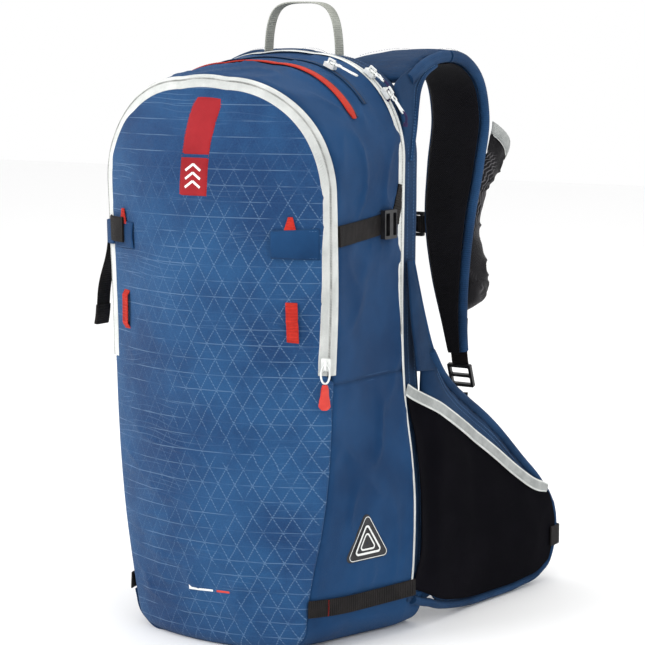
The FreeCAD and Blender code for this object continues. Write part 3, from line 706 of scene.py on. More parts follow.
RED_WEBBING = woven("red_webbing", (172, 34, 28), (216, 58, 46), yarn=1.2, depth=0.2, spread=50,
                    ribs=(3.0, 0.4))
STRETCH = woven("stretch_cloth", (8, 8, 12), (18, 17, 22), yarn=0.7, depth=0.05, rough=0.95,
                sheen=0.0, spread=9, gloss=0.03)
GREY_HEM = woven("grey_elastic", (168, 172, 170), (206, 209, 207), yarn=1.6, depth=0.3, rough=0.75,
                 spread=60, ribs=(1.9, 0.35))
STRAP_MESH = netting("strap_mesh", (8, 8, 12), (22, 21, 27), 2.4, 0.35)
PAD_MESH = netting("pad_mesh", (20, 20, 24), (62, 62, 70), 4.0, 1.1)
MOIRE = moire_mesh()
BLACK_PLASTIC = moulded("black_plastic", (12, 12, 14), (30, 30, 33), 0.38)
FRAME_PLASTIC = moulded("frame_plastic", (200, 204, 200), (222, 226, 222), 0.5)
RED_RUBBER = moulded("red_rubber", (188, 40, 30), (222, 66, 48), 0.5, 0.1)
PATCH_RUBBER = moulded("patch_rubber", (20, 20, 22), (42, 42, 46), 0.55, 0.1)
WHITE_PRINT = moulded("white_print", (222, 224, 222), (240, 242, 240), 0.55, 0.04)
WHITE_METAL = painted_metal("white_metal", (208, 211, 208), (236, 238, 236))
THREAD = woven("thread", (58, 92, 134), (96, 130, 170), yarn=0.5, depth=0.05)
BLACK_THREAD = woven("black_thread", (20, 19, 20), (44, 42, 44), yarn=0.5, depth=0.05)
CORD = woven("pull_cord", (34, 30, 60), (62, 52, 92), yarn=0.8, depth=0.12, spread=50)


# ---------------------------------------------------------------- stitches
def stitch_row(name, path, outward, pitch=3.2, length=2.3, width=0.55, lift=0.1):
    """A row of separate sewn threads along a path."""
    path, outward = np.asarray(path, float), np.broadcast_to(np.asarray(outward, float), np.shape(path))
    run = np.concatenate([[0], np.cumsum(np.linalg.norm(np.diff(path, axis=0), axis=-1))])
    count = int(run[-1] / pitch)
    verts, faces, weave = [], [], []
    for k in range(count):
        ends = [k * pitch, k * pitch + length / 2, k * pitch + length]
        places = np.stack([np.interp(ends, run, path[:, i]) for i in range(3)], axis=-1)
        out = unit(np.array([np.interp(ends[1], run, outward[:, i]) for i in range(3)]))
        along = unit(places[2] - places[0])
        across = np.cross(along, out)
        start = len(verts)
        for place, half, rise in zip(places, (0.25, 0.5, 0.25), (0.0, 0.35, 0.0)):
            for side, height in ((-1, 0.0), (0, 1.0), (1, 0.0)):
                verts.append(place + across * side * half * width + out * (lift + rise * height * width * 2))
                weave.append((side, float(k), 0.0))
        for row in range(2):
            for col in range(2):
                a = start + row * 3 + col
                faces.append([a, a + 1, a + 4, a + 3])
    return make_object(name, world(np.array(verts)), faces, weave)


# ---------------------------------------------------------------- shell of the pack
RIM_ROUND = 5.0       # how far the front edge's rounding reaches
EDGE_SETBACK = 2.5    # how far behind the front edge the side cloth starts
SHELL_THICK, LINING_THICK = 1.2, 0.5
COMPRESSION_Z, LOW_STRAP_Z = 409, 44
RED_ZIP_Y, GOGGLE_ZIP_Y = -70.5, -42
WALL_ROWS = 42
ZIP_FOOT_W = float(flank_w(274, -150))
ZIP_START = (266, 280)


def front_point(w, inset, lift=0.0):
    """Point on the front face, inset from the edge of the envelope."""
    inset = np.broadcast_to(inset, np.shape(w))
    y = front_depth(w, inset)
    p = wrap(y, w, inset)
    x, z = p[..., 0], p[..., 2]
    slope = smooth(z, FACE_HEIGHTS, FACE_FALL) * 2 * x / 1000
    outward = unit(np.stack([slope, -np.ones_like(slope), np.zeros_like(slope)], axis=-1))
    return p + outward * lift


def rim_point(w, reach, lift=0.0):
    """Point across the rounded front edge: reach is negative on the front face and positive
    on the side."""
    total = 0
    for k in (-2, -1, 0, 1, 2):
        q = np.broadcast_to(reach + k * RIM_ROUND / 4, np.shape(w))
        on_front = front_point(w, np.maximum(-q, 0) - 0.7 * lift * (q > -RIM_ROUND), lift)
        y = front_depth(w) + np.maximum(q, 0)
        on_side = wrap(y, w, -lift)
        total = total + np.where((q > 0)[..., None], on_side, on_front)
    return total / 5


def front_relief(x, z):
    """How far the front cloth stands off the plain face."""
    p = np.stack([x, np.zeros_like(x), z], axis=-1)
    broad = 1.3 * waves(p, 130, 3, (1, 1, 0.8))
    tucks = 1.6 * (creases(p, 80, 11, (1.7, 1, 0.5)) - 0.3)
    foot = ease(z, 150, 20)
    low = foot * 2.2 * (creases(p, 60, 23, (1.9, 1, 0.45)) - 0.3)
    slider = 3.2 * np.exp(-(((x - 95) / 34) ** 2 + ((z - 282 + 0.25 * (95 - x)) / 9) ** 2))
    return 1.3 * broad + tucks * (0.5 + 0.8 * ease(z, 330, 180)) + 1.5 * low - slider


def front_margin(z):
    """How far the front cloth ends inside the pack's edge: further along the zip."""
    return 8.0 * ease(z, *ZIP_START) + 0.6


def front_distance(x, z):
    """Distance inward from the outline of the front cloth."""
    return edge_distance(x, face_y(x, z), z) - front_margin(z)


def build_front():
    """Front cloth on a grid whose outer points are drawn in to its outline, and its lining."""
    spacing = 2.5
    xs = np.arange(-142.5, 142.6, spacing)
    zs = np.arange(-5, 556, spacing)
    z, x = np.meshgrid(zs, xs, indexing="ij")
    inside = front_distance(x, z) > 0
    quads = inside[:-1, :-1] | inside[1:, :-1] | inside[:-1, 1:] | inside[1:, 1:]
    px, pz = x.copy(), z.copy()
    for _ in range(6):
        d = front_distance(px, pz)
        gx = (front_distance(px + 0.1, pz) - d) / 0.1
        gz = (front_distance(px, pz + 0.1) - d) / 0.1
        size2 = np.maximum(gx ** 2 + gz ** 2, 0.3)
        move = np.where(d < 0, -d, 0)
        px = px + gx * move / size2
        pz = pz + gz * move / size2
    edge = front_distance(px, pz) + front_margin(z)
    y = face_y(px, pz) - front_relief(px, pz) * ease(edge, 0, 30)
    y = y + 5.0 * (1 - ease(edge, -3, 9)) ** 2 * (1 - ease(pz, *ZIP_START))
    y = y + 9.0 * (1 - ease(pz, -6, 20)) ** 2
    grid = np.stack([px, y, pz], axis=-1)
    piece = cloth("front_cloth_panel", grid, weave_of(x, z), quads, flip=True)
    thicken(piece, SHELL_THICK)
    wear(piece, FRONT, None, ("front_flap", "flap_fold_panel", "front_lower_panel"))
    fold(piece)
    inner = grid * [0.985, 1, 0.996] + [0, 2.2, 1.2]
    fold_middle = (FOLD_LOW + FOLD_HIGH) / 2
    inner[..., 1] += 3.0 * np.exp(-((pz - fold_middle) / 24) ** 2)      # room for the cloth where it bends
    lining = cloth("front_lining", inner, weave_of(x, z), quads & (zs[:-1, None] > 12))
    thicken(lining, LINING_THICK)
    wear(lining, LINING, None)
    fold(lining)


def fold(piece):
    """Bakes a piece's placement into its mesh."""
    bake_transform(piece)


def build_front_zip():
    """White tapes either side of the coil, from leg to leg over the arch."""
    w = even(-ZIP_FOOT_W, ZIP_FOOT_W, 5.0, -150)
    # distance across the rounded edge and height of each row of the tapes
    flap_rows = [(-11.6, 0.2), (-11.0, 1.3), (-8.6, 1.5), (-6.4, 1.5), (-5.6, 2.2), (-4.9, 2.2), (-4.4, 0.4)]
    pack_rows = [(-4.0, 0.4), (-3.6, 2.2), (-2.9, 2.2), (-2.2, 1.5), (0.5, 1.3), (2.8, 1.2), (4.6, 1.2),
                 (5.6, 1.1), (6.2, 0.1)]
    parts = {}
    for name, rows in (("front_zip_flap_side", flap_rows), ("front_zip_pack_side", pack_rows)):
        slim = np.where(name == "front_zip_pack_side", 0.85 - 0.42 * np.exp(-(w / 2.2) ** 4), 1.0)
        grid = np.stack([rim_point(w, (reach + 4) * slim - 4, lift) for reach, lift in rows], axis=0)
        along = arc_lengths(grid)[1]
        reach = np.array([r for r, _ in rows])[:, None] + np.zeros_like(along)
        parts[name] = thicken(cloth(name, grid, weave_of(reach, along)), 0.9)
        bend_edges(parts[name], 50)
    wear(parts["front_zip_pack_side"], WHITE_TAPE, "root", ("front_zip_pack_tape",))
    wear(parts["front_zip_flap_side"], WHITE_TAPE, None, ("front_zip_flap_tape",))
    fold(parts["front_zip_flap_side"])
    for name, reach, body in (("front_coil_flap_side", -4.75, None), ("front_coil_pack_side", -3.75, "root")):
        path = rim_point(w, np.full_like(w, reach), 1.9)
        out = rim_point(w, np.full_like(w, reach), 3.0) - path
        coil = sweep(name, path, out, round_section(0.5, 8, 1.2))
        wear(coil, COIL, body)
        if body is None:
            fold(coil)


def flat_places(p):
    """1 where a zip, a strap or the patch holds the side cloth flat, 0 away from them."""
    y, z = p[..., 1], p[..., 2]
    held = np.exp(-((y + 66) ** 2 + (z - 100) ** 2) / 34 ** 2)
    held = np.maximum(held, np.exp(-((z - LOW_STRAP_Z) / 17) ** 4))
    held = np.maximum(held, 0.9 * np.exp(-((z - COMPRESSION_Z) / 14) ** 4))
    for depth in (RED_ZIP_Y, GOGGLE_ZIP_Y):
        held = np.maximum(held, ease(z, 490, 520) * np.exp(-((y - depth) / 10) ** 4))
    return held


def side_relief(p, share):
    """Relief of the side cloth; share is 0 at the front edge and 1 at the main zip."""
    seam = np.sin(np.clip(share, 0, 1) * math.pi) ** 0.6
    z = p[..., 2]
    broad = 2.0 * waves(p, 110, 41, (1, 1.1, 0.8))
    tucks = 2.6 * (creases(p, 75, 53, (1, 0.6, 1.6)) - 0.35)
    pull = np.exp(-((z - COMPRESSION_Z) / 16) ** 2) * (p[..., 1] < -15)
    fan = 1.6 * creases(p, 40, 67, (1, 1.8, 0.5)) * np.exp(-((z - COMPRESSION_Z) / 45) ** 2)
    seam_dip = 1.8 * np.exp(-((z - SIDE_TOP) / 5) ** 2)
    relief = seam * (broad + tucks * 1.6 + fan * 1.5 + 0.7 - 1.2 * ease(z, 470, 530))
    return relief * (1 - flat_places(p)) - 1.6 * pull * seam - seam_dip - 0.8 * flat_places(p)


def wall_piece(name, w0, w1, node):
    """Side cloth from the front edge to the main zip, between two places on the section."""
    w = even(w0, w1, 4.5)
    start = front_depth(w) + EDGE_SETBACK
    share = np.linspace(0, 1, WALL_ROWS)[:, None]
    y = start[None] - start[None] * share
    inset = 4.0 * (1 - ease(y - start[None], -2, 9)) ** 2
    grid = wrap(y, np.broadcast_to(w, y.shape), inset)
    relief = side_relief(grid, share + 0 * y)
    along, around = arc_lengths(grid)
    piece = cloth(name, raised(grid, -relief), weave_of(around, along), flip=True)
    thicken(piece, SHELL_THICK)
    wear(piece, PLAIN, "root", (node,))


def build_walls():
    """Upper band and side panels, with the seams between them."""
    seam = float(flank_w(SIDE_TOP, -80))
    wall_piece("gusset_cloth", -seam, seam, "gusset_band")
    low = float(flank_w(BASE_TOP + 4, -80))
    wall_piece("side_cloth_right", seam, low, "side_panel_right")
    wall_piece("side_cloth_left", -low, -seam, "side_panel_left")
    rows = []
    for side in (1, -1):
        y = np.linspace(float(front_depth(np.array(side * seam))) + 10, -2, 50)
        for shift in (-3.0, 2.5):
            w = np.full(50, side * float(flank_w(SIDE_TOP + shift, -80)))
            path = wrap(y, w, 1.6)
            rows.append(stitch_row("seam_row", path + np.array([side * 0.5, 0, 0]), (side, 0, 0)))
    wear(join("side_seam_stitches", rows), THREAD)


def build_base():
    """Bottom: the wall below the side panels turns under and meets the ground."""
    low = float(flank_w(BASE_TOP + 5, -80))
    w = even(low - 0.05, 8.999, 3.0)
    start = front_depth(w) + EDGE_SETBACK
    share = np.linspace(0, 1, 40)[:, None]
    y = start[None] * (1 - share) + 28.0 * share
    rights = wrap(y, np.broadcast_to(w, y.shape), 0.6)
    rights[..., 1] += 3.0 * (1 - ease(rights[..., 2], -2, 20)) * (1 - share)
    foot_x = rights[:, -1, 0]
    middle = np.linspace(1, -1, 26)[None, 1:-1]
    floor_row = np.stack([foot_x[:, None] * middle, rights[:, -1:, 1] + 0 * middle,
                          0.4 + 0 * (y[:, :1] + middle)], -1)
    lefts = rights[:, ::-1] * [-1, 1, 1]
    grid = np.concatenate([rights, floor_row, lefts], axis=1)
    relief = 2.2 * waves(grid, 60, 77) * ease(np.abs(grid[..., 2]), 2, 14)
    grid = raised(grid, -relief)
    grid[..., 2] = np.maximum(grid[..., 2], 0.2)
    piece = cloth("base_cloth", grid, flip=True)
    thicken(piece, 1.0)
    wear(piece, PLAIN, "root", ("bottom_panel",))


def strip_path(w, y, lift):
    """Path on the envelope at depth y and the directions straight out from it."""
    w = np.asarray(w, float)
    path = wrap(np.broadcast_to(y, w.shape), w, -lift)
    return path, unit(wrap(np.broadcast_to(y, w.shape), w, -lift - 4) - path)


def build_main_zip():
    """White zip over the back edge, which narrows to a piping down the sides."""
    end = float(flank_w(50, 0))
    w = even(-end, end, 5.0, 0)
    z = wrap(np.zeros_like(w), w)[:, 2]
    half = 1.5 + 4.4 * ease(z, 250, 400)
    path, out = strip_path(w, -4.5 + 2.2 * (1 - ease(z, 250, 400)), 0.5)
    band = sweep("main_zip_tape", path, out, flat_section(2, 1.5), half)
    wear(band, WHITE_TAPE, "root", ("main_zip", "back_seam_piping"))
    seam = float(flank_w(300, 0))
    w = even(-seam, seam, 3.0, 0)
    path, out = strip_path(w, -5.0, 1.9)
    wear(sweep("main_zip_coil", path, out, round_section(0.9, 8, 0.8)), COIL)


def arc_of(x0, x1, y):
    """Values of w between two x over the crown at depth y."""
    w = np.linspace(-2.4, 2.4, 1200)
    x = wrap(np.full(1200, float(y)), w)[:, 0]
    low, high = np.interp([x0, x1], x, w)
    return even(low, high, 4.0, y)


def build_top_zips():
    """Red zip with a dark line as the painted shadow of the gap above it, and tone-on-tone zip across the
    crown.
    """
    w = arc_of(-92, 118, -70)
    path, out = strip_path(w, RED_ZIP_Y, 0.9)
    ends = np.minimum(1, 0.55 + 0.45 * np.minimum(np.arange(len(w)), np.arange(len(w))[::-1]) / 2)
    band = sweep("top_zip_tape", path, out, flat_section(11, 1.5), ends)
    wear(band, RED_TAPE, "root", ("top_pocket_zip",))
    # painted shadow: a dark line in the gap above the red zip, where there is only shade
    path, out = strip_path(w, -64.2, 0.8)
    wear(sweep("top_zip_shadow_line", path, out, round_section(0.9, 8)), DARK_COIL_AND_SHADOW)
    path, out = strip_path(w, RED_ZIP_Y, 2.3)
    wear(stitch_row("top_zip_stitches", path + [0, -3.6, 0], out, 3.0, 2.0, 0.5), RED_WEBBING)
    w = arc_of(-84, 112, GOGGLE_ZIP_Y)
    path, out = strip_path(w, GOGGLE_ZIP_Y, 0.9)
    band = sweep("goggle_zip_tape", path, out, flat_section(7, 0.8, across=6))
    wear(band, BINDING, "root", ("goggle_zip",))
    path, out = strip_path(w, GOGGLE_ZIP_Y, 1.5)
    wear(sweep("goggle_zip_coil", path, out, round_section(0.8, 8, 0.7)), DARK_COIL_AND_SHADOW)


BACK_DEPTH = 30.0


def build_back():
    """Back panel: the strip behind the main zip and the flat cloth against the wearer."""
    end = float(flank_w(9, 20))
    w = even(-end, end, 5.0, 15)
    y = np.array([0.5, 3, 6, 9, 12, 15, 18, 21, 24, 26.5, 28.5, 29.6, BACK_DEPTH])
    inset = np.array([0.6, 0.2, 0, 0, 0, 0, 0, 0, 0, 0.4, 1.5, 3.5, 6.0])
    grid = np.stack([wrap(np.full_like(w, a), w, b) for a, b in zip(y, inset)], axis=0)
    rings = [grid]
    for k in range(1, 9):
        ring = wrap(np.full_like(w, BACK_DEPTH), w, 6.0 + 6 * k)
        ring[:, 2] = np.maximum(ring[:, 2], 8.0)
        rings.append(ring[None])
    grid = np.concatenate(rings, axis=0)
    shrink = [grid[-1] * (1 - share, 1, 1) for share in np.linspace(0.1, 1, 12)]
    grid = np.concatenate([grid, np.stack(shrink)], axis=0)
    relief = 0.9 * waves(grid, 70, 91) * ease(np.arange(len(grid)), 2, 5)[:, None]
    relief = relief * (1 - ease(np.arange(len(grid)), len(y) - 5, len(y)))[:, None]
    along, around = arc_lengths(grid)
    piece = cloth("back_cloth", raised(grid, -relief), weave_of(around, along), flip=True)
    wear(piece, HARNESS, "root", ("back_panel",))
    rows = []
    for depth in (9.5, 20.5):
        path, out = strip_path(w, depth, 0.1)
        rows.append(stitch_row("row", path, out))
    wear(join("back_edge_stitches", rows), THREAD)


build_front()
build_front_zip()
build_walls()
build_base()
build_main_zip()
build_top_zips()
build_back()


# ---------------------------------------------------------------- webbing and trim on the shell
def on_front(x, z, lift=0.0):
    """Points that lie on the front cloth, and the directions straight out from it."""
    x, z = np.broadcast_arrays(np.asarray(x, float), np.asarray(z, float))
    y = face_y(x, z) - front_relief(x, z)
    slope_x = smooth(z, FACE_HEIGHTS, FACE_FALL) * 2 * x / 1000
    slope_z = (face_y(x, z + 2) - face_y(x, z - 2)) / 4
    out = unit(np.stack([slope_x, -np.ones_like(x), slope_z], axis=-1))
    return np.stack([x, y, z], axis=-1) + out * lift, out


def front_cloth_patch(name, centre, half, z0, z1, thick):
    """Flat cloth on the front: centre and half are functions of height."""
    zs = np.linspace(z0, z1, 24)
    share = np.linspace(-1, 1, 9)
    x = centre(zs)[:, None] + half(zs)[:, None] * share[None]
    z = zs[:, None] + 0 * x
    grid, _ = on_front(x, z, thick)
    rim = np.ones_like(x, bool)
    rim[1:-1, 1:-1] = False
    low, _ = on_front(x, z, 0.1)
    grid = np.where(rim[..., None], lerp(grid, low, 0.7), grid)
    piece = cloth(name, grid, weave_of(x, z), flip=True)
    return thicken(piece, 0.5)


def build_stripe():
    """Red stripe and badge with a plain mark; the stripe bends a little to one side."""
    def centre(z):
        return smooth(z, [440, 480, 517, 541, 556], [0, 1, 5, 11, 14])

    def half(z):
        return smooth(z, [440, 480, 517, 541, 552], [16.8, 16.9, 18, 17.5, 17.3])

    stripe = front_cloth_patch("centre_stripe_cloth", centre, half, 479, 551, 1.1)
    wear(stripe, STRIPE, "flap", ("centre_stripe",))
    badge = front_cloth_patch("badge_cloth", centre, half, 441, 477.5, 1.3)
    wear(badge, STRIPE, "flap", ("badge_patch",))
    parts = []
    for x0, z0, x1, z1, width in chevrons(-0.3, 458):
        path, out = on_front(np.linspace(x0, x1, 6), np.linspace(z0, z1, 6), 1.35)
        parts.append(sweep("bar", path, out, flat_section(width, 0.5, across=3)))
    wear(join("badge_mark", parts), WHITE_PRINT, "flap")
    rows = []
    for side in (-1, 1):
        zs = np.linspace(442, 541, 60)
        path, out = on_front(centre(zs) + side * (half(zs) - 1.6), zs, 1.25)
        rows.append(stitch_row("row", path, out, 2.8, 1.9, 0.45))
    wear(join("stripe_stitches", rows), RED_WEBBING, "flap")


def chevrons(x, z):
    """Bars of a plain mark: three stacked peaks."""
    half, width = 8.5, 2.6
    bars = []
    for low in (z - 9, z - 1, z + 7):
        bars.append((x - half, low, x, low + 6, width))
        bars.append((x, low + 6, x + half, low, width))
    return bars


def ribbed_loop(name, x, z0, z1, width, proud):
    """A webbing loop sewn down at head and foot, standing off the cloth between them."""
    z = np.linspace(z0, z1, 40)
    rise = proud * ease(np.minimum(z - z0, z1 - z), 0, 6)
    path, out = on_front(np.full_like(z, x), z, 0.6)
    return sweep(name, path + out * rise[:, None], out, flat_section(width, 1.3))


def build_front_loops():
    """Red loops for skis, and the ends of the upper ones above the side tabs."""
    for side, label in SIDES:
        parts = [ribbed_loop("lower", side * 98, 305, 343, 11.5, 3.0)]
        z = np.linspace(409, 424, 14)
        path, out = on_front(side * 98, z, 2.2)
        parts.append(sweep("upper", path, out, flat_section(13, 1.2, across=6), np.linspace(1.0, 0.35, 14)))
        loops = join("ski_loops_" + label, parts)
        wear(loops, RED_WEBBING, "flap", on_right(side, "ski_loops"))


TAB_INNER, TAB_LENGTH = 81, 41


def build_side_tabs():
    """Cloth tabs beside the zip, open towards the middle of the pack."""
    for side, label in SIDES:
        s = np.linspace(0, 1, 18)[:, None]
        t = np.linspace(-1, 1, 13)[None]
        x = side * (TAB_INNER + TAB_LENGTH * s) + 0 * t
        z = 398 + 0.5 * s + t * (13.0 + 1.8 * s)
        low, out = on_front(x, z, 0.8)
        rise = (6.0 if side > 0 else 2.4) * (1 - ease(s, 0.35, 1.0)) * (1 - 0.6 * t ** 2) + 0.6
        grid = low + out * rise[..., None]
        piece = cloth("side_tab_" + label, grid, weave_of(x, z), flip=side > 0)
        thicken(piece, 1.0)
        wear(piece, PLAIN, "flap", on_right(side, "side_tabs"))
    rows = []
    for side in (1, -1):
        x = side * np.linspace(86, 121, 20)
        s = (np.abs(x) - TAB_INNER) / TAB_LENGTH
        for z, sign in ((409.5, 1), (386.5, -1)):
            path, out = on_front(x, z + sign * 1.5 * s, 0.8)
            rise = 3.2 * (1 - ease(s, 0.35, 1.0)) * 0.5 + 0.8
            rows.append(stitch_row("row", path + out * rise[:, None], out, 2.8, 1.9, 0.45))
    wear(join("side_tab_stitches", rows), THREAD, "flap")


def flank_path(y, z, lift, side=1):
    """Path on the cloth of the flank, and the directions straight out from it."""
    y, z = np.broadcast_arrays(np.asarray(y, float), np.asarray(z, float))
    w = np.array([float(flank_w(b, a)) for a, b in zip(y.ravel(), z.ravel())]).reshape(y.shape)
    start = front_depth(w) + EDGE_SETBACK
    share = (y - start) / (0 - start)
    base = wrap(y, w)
    out = unit(wrap(y, w, -4.0) - base)
    relief = side_relief(base * [side, 1, 1], share)
    path = base + out * (relief * (share > 0) * (z > BASE_TOP) + lift)[..., None]
    return path * [side, 1, 1], out * [side, 1, 1]


def build_compression():
    """Side straps: webbing from the front zip to a ladder buckle by the main zip."""
    for side, label in SIDES:
        y = np.linspace(-122, -20, 40)
        z = smooth(y, [-122, -70, -20], [405, 408.5, 413])
        path, out = flank_path(y, z, 0.7, side)
        lift = 1.4 * np.sin(np.linspace(0, math.pi, 40))
        parts = [sweep("strap", path + out * lift[:, None], out, flat_section(WEBBING_WIDTH, 1.6))]
        parts.append(sweep("turn", path[:12] + out[:12] * 1.9, out[:12], flat_section(WEBBING_WIDTH, 1.5)))
        strap = join("compression_strap_" + label, parts)
        wear(strap, BLACK_WEBBING, "root", on_right(side, "compression_straps"))
        y = np.linspace(-18, -9, 14)
        z = np.linspace(411, 448, 14)
        path, out = flank_path(y, z, 1.4, side)
        width = np.linspace(1.0, 0.25, 14)
        anchor = sweep("compression_anchor_" + label, path, out, flat_section(WEBBING_WIDTH, 1.5), width)
        wear(anchor, BLACK_WEBBING, "root", on_right(side, "compression_anchors"))
        tack = bartack("compression_bartack_" + label, path[-4], out[-4], (0, 0.25, 1), 9, 2.4)
        wear(tack, BLACK_THREAD)


def bartack(name, place, outward, along, length, width, turns=12):
    """A dense zigzag of thread."""
    along = unit(np.asarray(along, float))
    outward = unit(np.asarray(outward, float))
    across = np.cross(along, outward)
    t = np.linspace(-0.5, 0.5, 2 * turns + 1)
    zig = np.where(np.arange(2 * turns + 1) % 2, 0.5, -0.5)
    path = np.asarray(place) + along * (t * length)[:, None] + across * (zig * width)[:, None] + outward * 0.3
    return sweep(name, path, outward, round_section(0.32, 6))


def build_lower_straps():
    """Straps round the foot of each side."""
    for side, label in SIDES:
        y = np.linspace(-132, 2, 50)
        z = smooth(y, [-132, -100, -40, 2], [45, 43, 44, 45])
        w = np.array([float(flank_w(b, a)) for a, b in zip(y, z)])
        base = wrap(y, w)
        out = unit(wrap(y, w, -4.0) - base)
        rise = 2.2 + 2.2 * np.sin(np.linspace(0, math.pi, 50)) ** 0.7
        path = (base + out * rise[:, None]) * [side, 1, 1]
        out = out * [side, 1, 1]
        strap = sweep("lower_strap_" + label, path, out, flat_section(17, 1.6))
        wear(strap, BLACK_WEBBING, "root", on_right(side, "lower_side_straps"))
        tack = bartack("row", path[8] + out[8] * 1.6, out[8], (0, 0.05, 1), 15, 1.6, 14)
        wear(join("lower_strap_bartack_" + label, [tack]), RED_WEBBING)


def build_patch():
    """Soft triangular patch with a raised rim and a plain triangle on it."""
    centre_y, centre_z = -66.0, 101.0

    def ring(size, rise, corner):
        points = []
        for k in range(3):
            turn = math.pi / 2 + k * 2 * math.pi / 3
            cy, cz = (size - corner) * math.cos(turn), (size - corner) * math.sin(turn)
            for a in turn + np.linspace(-math.pi / 3, math.pi / 3, 10):
                points.append((cy + corner * math.cos(a), cz + corner * math.sin(a), rise))
        return points

    def placed(points):
        y = np.array([centre_y - 4 * (p[1] / 24) + p[0] for p in points])
        z = np.array([centre_z + p[1] for p in points])
        path, out = flank_path(y, z, 0.0)
        return path + out * np.array([p[2] for p in points])[:, None]

    profile = [(30, 0.2, 5), (29.6, 2.0, 4.8), (28.4, 2.7, 4.4), (26, 2.7, 3.6), (25, 2.0, 3.2),
               (14, 2.0, 1.8), (1, 2.0, 0.2)]
    grid = np.stack([placed(ring(*row)) for row in profile])
    faces = grid_faces(*grid.shape[:2], closed=True, flip=True)
    along = arc_lengths(grid)
    body = make_object("patch_body", world(grid).reshape(-1, 3), faces, weave_of(*along).reshape(-1, 3))
    bend_edges(body, 50)
    wear(body, PATCH_RUBBER, "root", ("rubber_patch",))
    marks = []
    for size, width in ((17.5, 2.2), (9.5, 1.8)):
        loop = placed(ring(size, 2.3, 2.6))
        out = flank_path(np.full(len(loop), centre_y), np.full(len(loop), centre_z), 0)[1]
        marks.append(sweep("mark", loop, out, flat_section(width, 0.5, across=2), closed=True))
    loop = placed(ring(27.3, 2.6, 4.0))
    marks.append(sweep("rim", loop, out, flat_section(0.7, 0.5, across=1), closed=True))
    wear(join("patch_mark", marks), WHITE_PRINT)


def build_tail():
    """Loose end of the left strap with its folded end."""
    top = np.array([-141.0, -112.0, 396.0])
    lean = math.radians(12)
    down = np.array([-math.sin(lean), 0, -math.cos(lean)])
    run = np.linspace(0, 96, 40)
    sway = 1.6 * np.sin(run / 96 * 2.6 * math.pi)
    path = top + down * run[:, None] + np.array([1.0, 0, -0.2]) * sway[:, None]
    parts = [sweep("tail", path, (-1, 0, 0.2), flat_section(WEBBING_WIDTH, 1.6, foot=-0.8))]
    parts.append(sweep("fold", path[31:], (-1, 0, 0.2), flat_section(21, 4.6, foot=-2.3)))
    wear(join("strap_tail", parts), BLACK_WEBBING, "strap_tail", ("strap_tail_left",))


def build_left_wrap():
    """Strap end that wraps the left tab beside the zip."""
    z = 403.0
    s = np.linspace(0, 1, 26)
    x = -97 - 34 * s
    path, out = on_front(np.maximum(x, -123), np.full_like(x, z), 5.0)
    path[:, 0] = x
    path[:, 1] += 10 * ease(s, 0.7, 1.0) - 1.5 * np.sin(s * math.pi)
    band = sweep("left_strap_wrap", path, out, flat_section(25, 1.8))
    wear(band, BLACK_WEBBING, "flap")
    s = np.linspace(0, 1, 16)[:, None]
    t = np.linspace(-1, 1, 9)[None]
    x = -118 - 17 * s + 0 * t
    zz = 400 - 1.5 * s + t * (13 - 1.5 * s)
    y = face_y(-118.0 + 0 * x, zz) - 6 + 11 * s ** 1.5
    wing = cloth("left_tab_end", np.stack([x, y, zz], axis=-1), weave_of(x, zz))
    thicken(wing, 1.4)
    wear(wing, PLAIN, "flap")


def build_hem_bars():
    """Plain raised bars low on the front, one light and one red."""
    for name, x0, x1, material, slot in (("front_bar_light", -13, 13, WHITE_PRINT, "white_zip"),
                                         ("front_bar_red", 17, 31, RED_RUBBER, "red_rubber")):
        path, out = on_front(np.linspace(x0, x1, 10), np.full(10, 58.0), 0.5)
        bar = sweep(name, path, out, flat_section(5.0, 0.7, across=4))
        wear(bar, material)


build_stripe()
build_front_loops()
build_side_tabs()
build_compression()
build_lower_straps()
build_patch()
build_tail()
build_left_wrap()
build_hem_bars()


# ---------------------------------------------------------------- padded pieces
PUFF_FRAMES = 14


def puff(piece, voxel, pressure, cap):
    """Swells a closed piece with the cloth solver and keeps every point within cap."""
    remesh = piece.modifiers.new("even", "REMESH")
    remesh.mode = "VOXEL"
    remesh.voxel_size = voxel * MM
    settle(piece)
    start = coordinates(piece.data)
    solver = piece.modifiers.new("cloth", "CLOTH")
    settings = solver.settings
    settings.quality = 4
    settings.mass = 0.2
    settings.tension_stiffness = settings.compression_stiffness = 25
    settings.bending_stiffness = 1.5
    settings.use_pressure = True
    settings.uniform_pressure_force = pressure
    settings.effector_weights.gravity = 0
    solver.collision_settings.use_collision = False
    scene = bpy.context.scene
    solver.point_cache.frame_start, solver.point_cache.frame_end = 1, PUFF_FRAMES
    for number in range(1, PUFF_FRAMES + 1):
        scene.frame_set(number)
    settle(piece)
    scene.frame_set(1)
    move = coordinates(piece.data) - start
    size = np.linalg.norm(move, axis=1, keepdims=True)
    move *= np.minimum(1, cap * MM / np.maximum(size, 1e-9))
    set_coordinates(piece.data, start + move)
    piece.data.polygons.foreach_set("use_smooth", [True] * len(piece.data.polygons))
    finer = piece.modifiers.new("finer", "SUBSURF")
    finer.levels = finer.render_levels = 1
    settle(piece)


def local(co):
    """Frame coordinates in metres back to millimetres from the zip plane."""
    points = np.array(co, float)
    points[..., 1] -= ZIP_PLANE
    return points / MM


def rethread(piece, threads):
    """Writes the cloth coordinates again, from a function of the points."""
    mesh = piece.data
    u, v = threads(local(coordinates(mesh)))
    attribute = mesh.attributes.get("weave") or mesh.attributes.new("weave", "FLOAT_VECTOR", "POINT")
    attribute.data.foreach_set("vector", weave_of(u, v).astype(np.float32).ravel())


